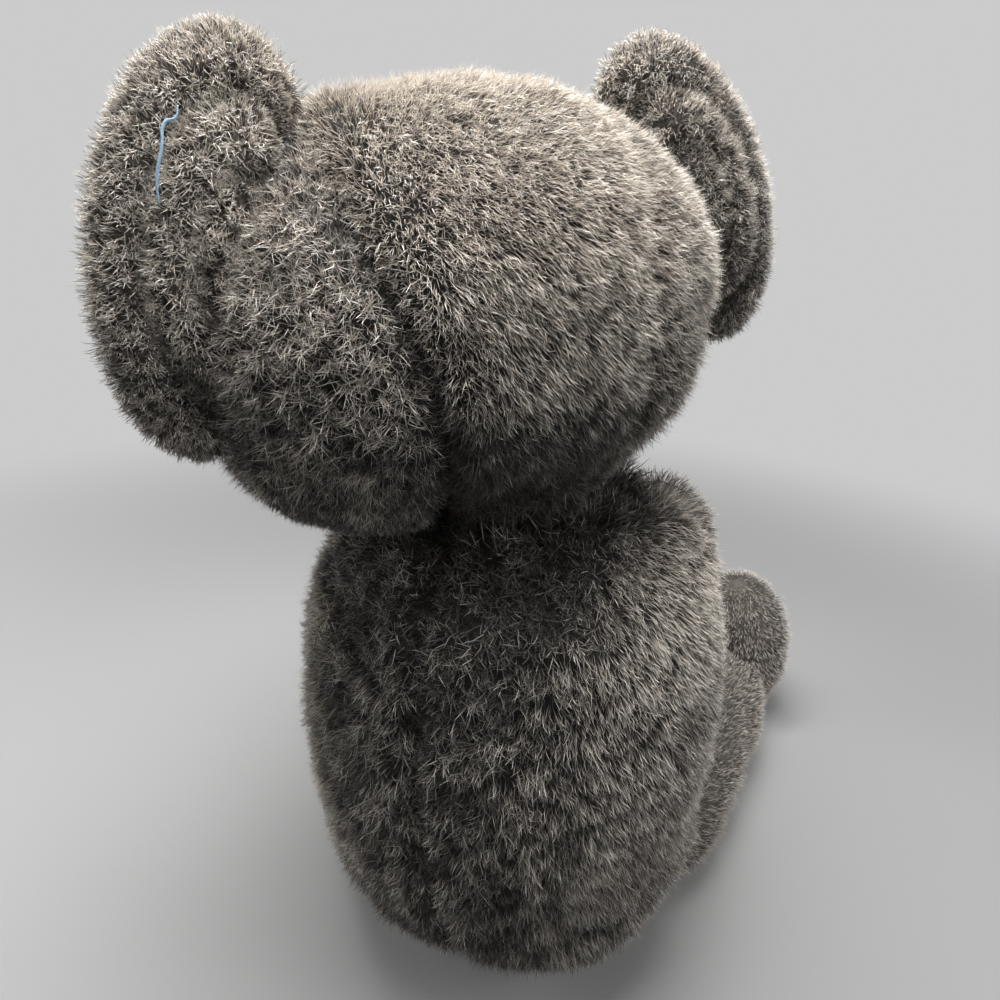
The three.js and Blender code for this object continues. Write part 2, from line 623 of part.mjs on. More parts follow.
// Each foot stands on its heel at the end of the leg, and the leg's end reaches into it.
function addFoot(name, side) {
  const grownThigh = thighSolid(side, GAP);
  const foot = footSolid(side, 0).subtract(belowFloor).subtract(grownThigh);
  const cover = foot.subtract(footSolid(side, -PLUSH_THICKNESS).subtract(belowLining));
  addPiece(koala, `foot_cover_${name}`, largest(cover), greyPlush);
  const filling = footSolid(side, -PLUSH_THICKNESS - GAP).subtract(belowFilling).subtract(grownThigh);
  addPiece(koala, `foot_stuffing_${name}`, largest(filling), wadding);
  const direction = legDirection(side);
  const region = ellipsoid(SOLE_PAD_HALF_WIDTH, FOOT_HALF_THICKNESS, SOLE_PAD_HALF_HEIGHT);
  region.rotateZ(Math.atan2(direction.x, -direction.y));
  region.translate(side * FOOT_FROM_MIDDLE, -FOOT_FORWARD, FOOT_HALF_HEIGHT);
  region.translate(direction.x * FOOT_HALF_THICKNESS, direction.y * FOOT_HALF_THICKNESS, 0);
  const skin = footSolid(side, GAP + SHORT_PLUSH_THICKNESS).subtract(footSolid(side, GAP));
  addPiece(koala, `sole_pad_${name}`, largest(skin.intersect(solidOf(region))), tanPlush);
}

addTorso();
addBellyPanel();
addNeckJoint();
addHead();
addMuzzleAndNose();
addEyes();
addEars();
for (const [name, side] of Object.entries(sides)) {
  addArm(name, side);
  addLeg(name, side);
  addFoot(name, side);
}

export default koala;
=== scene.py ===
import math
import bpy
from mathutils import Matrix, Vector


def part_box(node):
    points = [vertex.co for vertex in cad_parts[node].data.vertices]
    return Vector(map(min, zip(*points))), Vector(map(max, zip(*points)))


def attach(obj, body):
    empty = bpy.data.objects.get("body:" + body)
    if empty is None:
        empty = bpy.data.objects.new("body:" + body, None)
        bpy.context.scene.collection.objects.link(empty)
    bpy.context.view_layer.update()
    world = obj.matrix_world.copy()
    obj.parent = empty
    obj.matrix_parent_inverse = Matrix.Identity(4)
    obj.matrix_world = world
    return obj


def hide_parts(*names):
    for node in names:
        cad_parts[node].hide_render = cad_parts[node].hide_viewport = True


bl_info = {
    "name": "Plush Koala",
    "version": (1, 0, 0),
    "blender": (4, 5, 0),
    "location": "View3D > Sidebar > Koala",
    "description": "Builds a seated plush koala with a turning head, sewn limbs and long pile",
    "category": "Object",
}

from collections import namedtuple

import bmesh
import bpy
import numpy as np
from bpy.props import FloatProperty, FloatVectorProperty, IntProperty, PointerProperty
from mathutils import Matrix, Vector, noise

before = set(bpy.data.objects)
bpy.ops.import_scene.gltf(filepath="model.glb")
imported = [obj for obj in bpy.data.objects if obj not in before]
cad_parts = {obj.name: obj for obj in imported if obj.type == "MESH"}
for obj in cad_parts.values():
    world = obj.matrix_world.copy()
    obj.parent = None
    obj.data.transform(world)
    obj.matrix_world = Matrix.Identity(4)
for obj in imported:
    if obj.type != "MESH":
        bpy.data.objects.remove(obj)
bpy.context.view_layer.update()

MM = 0.001
SIDES = {"left": 1, "right": -1}

# An egg reaches up by its rise and down by its drop from its widest level. A power of 2 makes that
# half of it round, and a higher one boxier. A sausage is rounded at its start and its end.
Egg = namedtuple("Egg", "half_width half_depth rise drop rise_power drop_power", defaults=(2, 2))
Sausage = namedtuple("Sausage", "start end start_radius end_radius power")


def mm(*sizes):
    return Vector(sizes) * MM


# Torso, whose cover reaches from the floor to the neck
torso_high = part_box("torso_cover")[1]
NECK_HEIGHT = torso_high.z
TORSO = Egg(torso_high.x, torso_high.y, 122 * MM, 143.5 * MM, 2.8, 2.15)
TORSO_WIDEST_HEIGHT = 139.5 * MM

# Neck and skull
NECK_BEHIND_MIDDLE = 27 * MM
HEAD_TURN = math.radians(52)
SKULL = Egg(100 * MM, 84 * MM, 81 * MM, 76 * MM, 2.1, 2.8)
SKULL_TILT = math.radians(9)
SKULL_BEFORE_NECK = 29 * MM
SKULL_HEIGHT = 320 * MM

# Ears
EAR_HALF_WIDTH = 31 * MM
EAR_HALF_THICKNESS = 15 * MM
EAR_HALF_HEIGHT = 57 * MM
EAR_PLACE = mm(84.5, 26, 35)
EAR_SWEEP = math.radians(18)
EAR_LEAN = math.radians(23.5)
EAR_CUP_DEPTH = 8 * MM
EAR_LINING_THICKNESS = 2 * MM
EAR_ROW_DEPTH = 4 * MM
EAR_GATHER_DEPTH = 9 * MM
EAR_HALF_GAP = 0.3 * MM
EAR_STRAND_SHARES = {"left": 0.51, "right": 0.35}

# Limbs of the left side
ARM = Sausage(mm(54, -36, 247), mm(54, -124, 94), 30 * MM, 27 * MM, 5)
LEG = Sausage(mm(60, -8, 48), mm(112, -228, 33), 50 * MM, 34 * MM, 4)
FOOT_PLACE = mm(105, -226, 58)
FOOT_HALF_SIZES = mm(40, 29, 62)
LIMB_STRAND_SHARES = {"arm": 0.2, "leg": 0.37, "foot": 0.21}
LIMB_LUMPS = {"arm": (30, 1.5), "leg": (34, 2), "foot": (30, 1.5)}  # size and height, in mm

# Pads and the belly panel
BELLY_HEIGHT = 168 * MM
BELLY_HALF_WIDTH = 44 * MM
BELLY_HALF_HEIGHT = 56 * MM
SOLE_PAD_HALF_WIDTH = 27 * MM
SOLE_PAD_HALF_HEIGHT = 38 * MM
PAW_PAD_RADIUS = 19 * MM
PAW_PAD_LENGTH_SHARE = 0.8
PAW_PAD_FROM_END = 34 * MM
PAW_PAD_HALF_ANGLE = 0.62
PAD_HEIGHT = 3 * MM

# The cloth under the pile lies this far inside the laid pile that the solids show.
CLOTH_DEPTH = 3 * MM
EAR_CLOTH_DEPTHS = {"left": 0, "right": 1 * MM}
ABOVE_FLOOR = 0.2 * MM
CLEAR_OF_NECK = 0.4 * MM

# Filling
PLUSH_THICKNESS = 5 * MM
FILLING_CLEARANCE = 3 * MM
PELLET_BAG_HALF_WIDTH = 44 * MM
PELLET_BAG_HALF_HEIGHT = 21 * MM

# Places on the skull
MUZZLE_PLACE = mm(0, -72, -30)
MUZZLE_HALF_SIZES = mm(42, 27, 30)
NOSE_PLACE = mm(0, -90, -10)
NOSE_HALF_SIZES = mm(17, 15, 24)
NOSE_RISE_POWER = 2.4
EYE_TO_SIDE = math.radians(27)
EYE_ABOVE_LEVEL = math.radians(9)
EYE_RADIUS = 8.5 * MM
EYE_BACK_RADIUS = EYE_RADIUS * 0.92
EYE_BACK = 0.3 * MM
EYE_DOME_HEIGHT = 6 * MM
EYE_STEM_RADIUS = 2 * MM
EYE_STEM_LENGTH = 14 * MM

# Loose thread on the left ear: places in the ear's own space and the thickness at each of them
THREAD_RADIUS = 0.36 * MM
THREAD_POINTS = (
    (mm(22, 19.4, 5), 0.6),
    (mm(22.8, 19.2, 10), 1),
    (mm(22.3, 18.8, 18), 1),
    (mm(21.9, 18.2, 23.2), 1),
    (mm(20.1, 18.7, 24.8), 0.85),
    (mm(19.7, 18.3, 27.8), 0.4),
)

head_place = Matrix.Translation((0, NECK_BEHIND_MIDDLE, 0)) @ Matrix.Rotation(HEAD_TURN, 4, "Z")
skull_place = (
    head_place
    @ Matrix.Translation((0, -SKULL_BEFORE_NECK, SKULL_HEIGHT))
    @ Matrix.Rotation(SKULL_TILT, 4, "Y")
)


def length_setting(name, description, default, precision=3):
    return FloatProperty(name=name, description=description, default=default, unit="LENGTH",
                         precision=precision)


def colour_setting(name, description, *default):
    return FloatVectorProperty(name=name, description=description, subtype="COLOR", default=default)


def power_setting(name, description, default):
    return FloatProperty(name=name, description=description, default=default, unit="POWER")


def angle_setting(name, description, degrees):
    return FloatProperty(name=name, description=description, default=math.radians(degrees),
                         subtype="ANGLE")


class KoalaPile(bpy.types.PropertyGroup):
    """Sizes of the pile that covers the toy"""

    grey_length: length_setting("Grey pile", "Length of the grey strands", 9 * MM)
    cream_length: length_setting("Cream pile", "Length of the cream strands", 8 * MM)
    strand_radius: length_setting("Strand radius", "Half the width of a lock of fibres",
                                  0.16 * MM, 5)
    tuft_spacing: length_setting("Tuft spacing", "Distance between the middles of tufts", 4 * MM)
    strands: IntProperty(name="Strands", description="Most strands in one piece of pile",
                         default=48000, min=100)
    seed: IntProperty(name="Seed", description="Seed of everything random in the pile", default=7)


class KoalaColours(bpy.types.PropertyGroup):
    """Colours of the cloth and the trim"""

    # Near black: the fibre's darker base together with painted shade deep in the pile.
    grey_root: colour_setting("Grey root", "Colour deep in the grey pile", 0.012, 0.0105, 0.009)
    grey_middle: colour_setting("Grey middle", "Colour half way up the grey pile",
                                0.37, 0.328, 0.284)
    grey_tip: colour_setting("Grey tip", "Colour of the grey pile's tips", 0.94, 0.88, 0.80)
    cream_root: colour_setting("Cream root", "Colour deep in the cream pile", 0.32, 0.28, 0.23)
    cream_tip: colour_setting("Cream tip", "Colour of the cream pile's tips", 0.80, 0.76, 0.69)
    pad: colour_setting("Pads", "Colour of the paw and sole pads", 0.30, 0.225, 0.165)
    nose: colour_setting("Nose", "Colour of the nose and eyes", 0.012, 0.011, 0.010)
    thread: colour_setting("Thread", "Colour of the loose thread", 0.36, 0.53, 0.70)


class KoalaStage(bpy.types.PropertyGroup):
    """Camera, light and floor"""

    focal_length: FloatProperty(name="Focal length", default=20.88, unit="CAMERA",
                                description="Lens of the camera on a 36 mm sensor")
    camera_place: FloatVectorProperty(name="Camera place", description="Where the camera stands",
                                      default=(-89.7 * MM, 223.2 * MM, 345 * MM),
                                      subtype="TRANSLATION")
    heading: angle_setting("Heading", "Turn of the camera from the direction the toy faces", 24)
    pitch: angle_setting("Pitch", "How far the camera looks down", 22.6)
    roll: angle_setting("Roll", "How far the camera is tipped sideways", 2.8)
    top_light: power_setting("Top light", "Power of the panel overhead", 5.8)
    right_light: power_setting("Right light", "Power of the panel at the toy's right", 3.4)
    left_light: power_setting("Left light", "Power of the panel at the toy's left", 4.6)
    surround: FloatProperty(name="Surround", description="Strength of the light from all round",
                            default=0.04, min=0)
    floor: colour_setting("Floor", "Colour of the floor and backdrop", 0.48, 0.48, 0.48)


def pile_sizes():
    return bpy.context.scene.koala_pile


def colours():
    return bpy.context.scene.koala_colours


# Forms, as rows of points from one end to the other

def halves(shape, level):
    """Height and power of an egg in the half that each level is in."""
    power = np.where(level > 0, shape.rise_power, shape.drop_power)
    return np.where(level > 0, shape.rise, shape.drop), power


def egg_rows(shape, around=144, along=84):
    angle = np.linspace(-math.pi / 2, math.pi / 2, along + 1)
    reach, power = halves(shape, angle)
    across = np.maximum(np.cos(angle), 0) ** (2 / power)
    height = np.sign(angle) * np.abs(np.sin(angle)) ** (2 / power) * reach
    turn = np.linspace(0, 2 * math.pi, around, endpoint=False)
    rows = np.zeros((along + 1, around, 3))
    rows[..., 0] = across[:, None] * shape.half_width * np.cos(turn)
    rows[..., 1] = across[:, None] * shape.half_depth * np.sin(turn)
    rows[..., 2] = height[:, None]
    return rows


def shrunk(shape, amount):
    return Egg(*(size - amount for size in shape[:4]), *shape[4:])


def fullness(share, power):
    """How full a sausage is, from 0 at both its ends to 1 between them."""
    return np.sqrt(np.maximum(1 - np.abs(2 * share - 1) ** power, 0))


def sausage_rows(shape, around=72, along=64):
    share = (1 - np.cos(np.linspace(0, math.pi, along + 1))) / 2
    taper = shape.start_radius + (shape.end_radius - shape.start_radius) * share
    radius = fullness(share, shape.power) * taper
    direction = (shape.end - shape.start).normalized()
    side = direction.cross(Vector((0, 0, 1))).normalized()
    up = side.cross(direction)
    angle = np.linspace(0, 2 * math.pi, around, endpoint=False)
    ring = np.cos(angle)[:, None] * np.array(side) + np.sin(angle)[:, None] * np.array(up)
    spine = np.array(shape.start) + share[:, None] * np.array(shape.end - shape.start)
    return spine[:, None, :] + radius[:, None, None] * ring[None, :, :]


def mesh_of_rows(name, rows):
    """A closed mesh over the rows, whose first and last rows are single points."""
    count, around = rows.shape[:2]
    points = [rows[0, 0], *rows[1:-1].reshape(-1, 3), rows[-1, 0]]
    ring = range(around)
    following = [(a + 1) % around for a in ring]
    faces = [(0, 1 + b, 1 + a) for a, b in zip(ring, following)]
    for low in range(1, 1 + (count - 3) * around, around):
        high = low + around
        faces += [(low + a, low + b, high + b, high + a) for a, b in zip(ring, following)]
    last = len(points) - 1
    top = last - around
    faces += [(top + a, top + b, last) for a, b in zip(ring, following)]
    mesh = bpy.data.meshes.new(name)
    mesh.from_pydata([tuple(p) for p in points], [], faces)
    face_outwards(mesh)
    return mesh


def face_outwards(mesh):
    work = bmesh.new()
    work.from_mesh(mesh)
    bmesh.ops.remove_doubles(work, verts=work.verts, dist=0.01 * MM)
    bmesh.ops.recalc_face_normals(work, faces=work.faces)
    work.to_mesh(mesh)
    work.free()
    mesh.shade_smooth()


def points_of(mesh):
    flat = np.empty(len(mesh.vertices) * 3)
    mesh.vertices.foreach_get("co", flat)
    return flat.reshape(-1, 3)


def normals_of(mesh):
    flat = np.empty(len(mesh.vertices) * 3)
    mesh.vertex_normals.foreach_get("vector", flat)
    return flat.reshape(-1, 3)


def set_points(mesh, points):
    mesh.vertices.foreach_set("co", points.ravel())
    mesh.update()


def press(mesh, depth_at):
    """Moves each point along its normal by a depth that depends on where it is."""
    points = points_of(mesh)
    set_points(mesh, points + normals_of(mesh) * depth_at(points)[:, None])


def hold_between(mesh, low=-math.inf, high=math.inf, axis=2):
    points = points_of(mesh)
    points[:, axis] = np.clip(points[:, axis], low, high)
    set_points(mesh, points)
    return points


def place(mesh, matrix):
    mesh.transform(matrix)
    mesh.update()


# Fields, each one number for every point

def smooth_step(value, low, high):
    share = np.clip((value - low) / (high - low), 0, 1)
    return share * share * (3 - 2 * share)


def ramp(value, low, high):
    """0 up to the low end and 1 from the high end, both in millimetres."""
    return smooth_step(value, low * MM, high * MM)


def groove(distance, width):
    return np.exp(-(distance / width) ** 2)


def lumps(points, size, seed):
    """Soft hills and hollows from -1 to 1, a size in millimetres apart, as in packed filling."""
    shift = Vector((seed, seed, seed))
    return np.array([noise.noise(Vector(p) / (size * MM) + shift) for p in points])


def spread(points, half_sizes, middle=(0, 0, 0)):
    """Squared distance from a middle, 1 on the ellipsoid with these half sizes."""
    return (((points - np.array(middle)) / np.array(half_sizes)) ** 2).sum(1)


def hill(points, middle, width):
    """1 at a middle and less away from it, both in millimetres."""
    return np.exp(-spread(points, width * MM, np.array(middle) * MM))


def from_spine(points, limb, ends=(-math.inf, math.inf)):
    """Share of the way along a limb, distance from its middle line and its radius there."""
    line = np.array(limb.end - limb.start)
    share = np.clip((points - np.array(limb.start)) @ line / (line @ line), *ends)
    spine = np.array(limb.start) + share[:, None] * line
    radius = limb.start_radius + (limb.end_radius - limb.start_radius) * share
    return share, np.linalg.norm(points - spine, axis=1), radius


def in_limb(points, limb, grow):
    share, apart, radius = from_spine(points, limb)
    return apart < fullness(share, limb.power) * radius + grow


def nearness_to_limb(points, limb, reach):
    """1 on a limb's surface, falling to 0 at a distance from it."""
    _, apart, radius = from_spine(points, limb, (0, 1))
    return np.clip(1 - np.abs(apart - radius) / reach, 0, 1)


def in_torso(points, grow):
    x, y, z = (points - np.array((0, 0, TORSO_WIDEST_HEIGHT))).T
    height, power = halves(TORSO, z)
    across = np.hypot(x / (TORSO.half_width + grow), y / (TORSO.half_depth + grow))
    return across ** power + np.abs(z / (height + grow)) ** power < 1


# Directions, each one for every point

DOWN = np.array([0, 0, -1.0])


def directions(x, y, z):
    """Rows of directions from numbers or from arrays of them."""
    return np.stack(np.broadcast_arrays(x, y, z), axis=1)


def unit(vectors):
    return vectors / np.maximum(np.linalg.norm(vectors, axis=1, keepdims=True), 1e-9)


def combed(way, normals, lean):
    """Pile leaning by an amount to the side of a surface that a way points to."""
    aside = way - normals * (way * normals).sum(1, keepdims=True)
    return unit(aside) * np.reshape(lean, (-1, 1))


def moved(points, matrix):
    matrix = np.array(matrix)
    return points @ matrix[:3, :3].T + matrix[:3, 3]


def turned(vectors, matrix):
    return vectors @ np.array(matrix)[:3, :3].T


def on_side(point, side):
    return Vector((side * point.x, point.y, point.z))


def limb_on(side, limb, shrink=0.0):
    """An arm or leg on one side, thinner by an amount all round."""
    radii = (limb.start_radius - shrink, limb.end_radius - shrink)
    return Sausage(on_side(limb.start, side), on_side(limb.end, side), *radii, limb.power)


# Objects

def add_object(name, mesh, material):
    piece = bpy.data.objects.new(name, mesh)
    bpy.context.scene.collection.objects.link(piece)
    mesh.materials.clear()
    mesh.materials.append(material)
    return piece


def finish_piece(piece, body, slot, *nodes):
    if nodes:
        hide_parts(*nodes)
    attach(piece, body)


def add_piece(name, mesh, material, body, slot, *nodes):
    finish_piece(add_object(name, mesh, material), body, slot, *nodes)


def finish_padded(skin, body, slot, node):
    finish_piece(skin, body, slot, node)


# Materials

def add_node(tree, kind, inputs=(), **settings):
    """Adds a node, sets it and connects its inputs in order, each to an output or a value."""
    node = tree.nodes.new(kind)
    for key, value in settings.items():
        setattr(node, key, value)
    for number, value in enumerate(inputs):
        if isinstance(value, bpy.types.NodeSocket):
            tree.links.new(value, node.inputs[number])
        elif value is not None:
            node.inputs[number].default_value = value
    return node


def new_material(name, shader_values):
    material = bpy.data.materials.new(name)
    material.use_nodes = True
    shader = material.node_tree.nodes["Principled BSDF"]
    for key, value in shader_values.items():
        shader.inputs[key].default_value = value
    return material, material.node_tree, shader


def opaque(colour):
    return (*colour, 1.0)


def in_place(tree, kind, *inputs):
    """A texture's first output, laid out on the object's own coordinates."""
    where = add_node(tree, "ShaderNodeTexCoord").outputs["Object"]
    return add_node(tree, kind, [where, None, *inputs]).outputs[0]


def colour_ramp(tree, share, *stops):
    """A colour for each share, between stops that are each a position and a colour."""
    node = add_node(tree, "ShaderNodeValToRGB", [share])
    elements = node.color_ramp.elements
    for element, (position, colour) in zip(elements, (stops[0], stops[-1])):
        element.position, element.color = position, opaque(colour)
    for position, colour in stops[1:-1]:
        elements.new(position).color = opaque(colour)
    return node.outputs[0]


def add_bump(tree, shader, height, strength, distance):
    bump = add_node(tree, "ShaderNodeBump")
    bump.inputs["Strength"].default_value = strength
    bump.inputs["Distance"].default_value = distance
    tree.links.new(height, bump.inputs["Height"])
    tree.links.new(bump.outputs[0], shader.inputs["Normal"])


# Shares of a strand at which it has its root, middle and tip colour, and how light a lock can be
FIBRE_STOPS = (0.3, 0.64, 0.92)
LOCK_LEVELS = (0.15, 1.65)


def pile_material(kind):
    """Fibre whose colour depends only on how far up it is and how light its lock is."""
    name = kind + "_pile"
    if name in bpy.data.materials:
        return bpy.data.materials[name]
    root, tip = getattr(colours(), kind + "_root"), getattr(colours(), kind + "_tip")
    middle = [(a + 2 * b) / 3 for a, b in zip(root, tip)]
    if kind == "grey":
        middle = colours().grey_middle
    material, tree, shader = new_material(name, {
        "Roughness": 0.62,
        "Specular IOR Level": 0.28,
        "Sheen Weight": 0.15,
        "Sheen Roughness": 0.5,
    })
    # The dark root of the ramp is partly painted shade deep in the pile, and a lock's level carries
    # the painted light and shade of its skin's shade field besides its own random tone.
    lock = add_node(tree, "ShaderNodeUVMap", uv_map="OFBake")
    parts = add_node(tree, "ShaderNodeSeparateXYZ", [lock.outputs[0]])
    fibre = colour_ramp(tree, parts.outputs[1], *zip(FIBRE_STOPS, (root, middle, tip)))
    level = add_node(tree, "ShaderNodeMapRange", [parts.outputs[0], 0.0, 1.0, *LOCK_LEVELS])
    lit = add_node(tree, "ShaderNodeVectorMath", [fibre, None, None, level.outputs[0]],
                   operation="SCALE")
    dyed = add_node(tree, "ShaderNodeVectorMath", [lit.outputs[0], tip], operation="MINIMUM")
    tree.links.new(dyed.outputs[0], shader.inputs["Base Color"])
    return material


# Each cloth, board or moulding by its darkest and lightest colour and the fineness of its grain.
# A colour is given outright, or as a share of one that a user can change. The grey backings are
# painted dark as shade deep in the pile, and the one under short pile is paler than that of the
# head and body, whose longer pile keeps more light out.
GRAINED = {
    "grey_backing": (("grey_root", 1), ("grey_middle", 0.2), 900.0),
    "short_pile_backing": (("grey_middle", 0.15), ("grey_middle", 0.6), 900.0),
    "cream_backing": (("cream_root", 1), ("cream_tip", 1), 900.0),
    "tan_suede": (("pad", 0.7), ("pad", 1), 420.0),
    "blue_cotton": (("thread", 0.75), ("thread", 1), 1600.0),
    "white_wadding": ((0.55, 0.54, 0.51), (0.82, 0.81, 0.78), 260.0),
    "bag_weave": ((0.42, 0.40, 0.36), (0.58, 0.55, 0.50), 700.0),
    "pressed_board": ((0.13, 0.075, 0.035), (0.32, 0.21, 0.12), 1400.0),
    "moulded_white": ((0.70, 0.69, 0.66), (0.80, 0.79, 0.77), 120.0),
}


KNITS_PER_PATCH = 18


def dye(colour):
    if isinstance(colour[0], str):
        name, share = colour
        return [share * value for value in getattr(colours(), name)]
    return colour


def grained_material(name):
    """A fine knit or grain with soft patches."""
    if name in bpy.data.materials:
        return bpy.data.materials[name]
    dark, light, scale = GRAINED[name]
    material, tree, shader = new_material(name, {"Roughness": 0.9})
    knit = in_place(tree, "ShaderNodeTexNoise", scale, 3.0)
    patches = in_place(tree, "ShaderNodeTexNoise", scale / KNITS_PER_PATCH, 2.0)
    mixed = add_node(tree, "ShaderNodeMath", [knit, patches], operation="MULTIPLY")
    tone = colour_ramp(tree, mixed.outputs[0], (0.1, dye(dark)), (0.45, dye(light)))
    tree.links.new(tone, shader.inputs["Base Color"])
    add_bump(tree, shader, knit, 0.5, 0.4 * MM)
    return material


def gloss_material():
    """Moulded black plastic with a faint orange-peel surface."""
    name = "black_gloss"
    if name in bpy.data.materials:
        return bpy.data.materials[name]
    material, tree, shader = new_material(name, {"Roughness": 0.16,
                                                 "Base Color": opaque(colours().nose)})
    peel = in_place(tree, "ShaderNodeTexNoise", 350.0, 2.0)
    add_bump(tree, shader, peel, 0.12, 0.2 * MM)
    return material


def steel_material():
    """Zinc plate with a soft spangle."""
    material, tree, shader = new_material("zinc_plate", {"Metallic": 1.0})
    spangle = in_place(tree, "ShaderNodeTexVoronoi", 420.0)
    shine = add_node(tree, "ShaderNodeMapRange", [spangle, 0.0, 1.0, 0.24, 0.46])
    tree.links.new(shine.outputs[0], shader.inputs["Roughness"])
    tone = colour_ramp(tree, spangle, (0, (0.50, 0.52, 0.54)), (1, (0.68, 0.68, 0.67)))
    tree.links.new(tone, shader.inputs["Base Color"])
    return material


# Pile

# How strands curl: a lean to one side, a wave's size and its phase, each as a share of a strand.
CURL_SHARES = (
    (0.22, 0.13, 0.0),
    (0.40, 0.10, 0.5),
    (0.08, 0.17, 0.3),
    (0.52, 0.11, 0.8),
    (-0.10, 0.16, 0.6),
    (-0.38, 0.12, 0.1),
    (0.14, 0.18, 0.75),
    (-0.24, 0.16, 0.35),
)
WAVES_PER_STRAND = 1.4
BOW_POWER = 2.4

# Lowest and highest value of a chance, one for each tuft or strand
TUFT_TIP_SHARES = (0.82, 1.12)
TUFT_HEIGHTS = (0.62, 1.12)
STRAND_LENGTHS = (0.72, 1.15)
PULLS_TO_TUFT = (0.05, 0.75)
STRAND_WIDTHS = (0.7, 1.3)
STRAND_ROLLS = (-1.3, 1.3)
SHADE_LIMITS = (0.02, 0.93)
LIGHT_LOCK_RARITY = 2.2
WAYWARDNESS = 0.35

# How a chance or a tuft's height turns into shade, and tuftiness into curl: a slope and a start
LOCK_SHADES = (0.75, -0.28)
TUFT_SHADES = (1.2, -1.06)
CURLS = (1.1, 0.3)


def strand_shapes(bends):
    """Curling ribbons one unit long, kept in a collection outside the scene."""
    name = f"strand_shapes_{bends}"
    if name in bpy.data.collections:
        return bpy.data.collections[name]
    shapes = bpy.data.collections.new(name)
    for number, (lean, wave, phase) in enumerate(CURL_SHARES):
        points, along = [], []
        for step in range(bends + 2):
            share = step / (bends + 1)
            turn = 2 * math.pi * (WAVES_PER_STRAND * share + phase)
            sway = (math.sin(turn) - math.sin(2 * math.pi * phase)) * share
            aside = lean * share ** BOW_POWER + wave * sway
            up = share - 0.25 * lean ** 2 * share ** 3
            half_width = 0.75 + 0.25 * share
            edges = (0,) if step in (0, bends + 1) else (-half_width, half_width)
            points += [(aside, edge, up) for edge in edges]
            along += [share for _ in edges]
        middle = [(2 * row - 1, 2 * row + 1, 2 * row + 2, 2 * row) for row in range(1, bends)]
        faces = [(0, 1, 2), *middle, (2 * bends - 1, 2 * bends + 1, 2 * bends)]
        mesh = bpy.data.meshes.new(f"strand_{bends}_{number}")
        mesh.from_pydata(points, [], faces)
        write_attribute(mesh, "along", along)
        shapes.objects.link(bpy.data.objects.new(mesh.name, mesh))
    return shapes


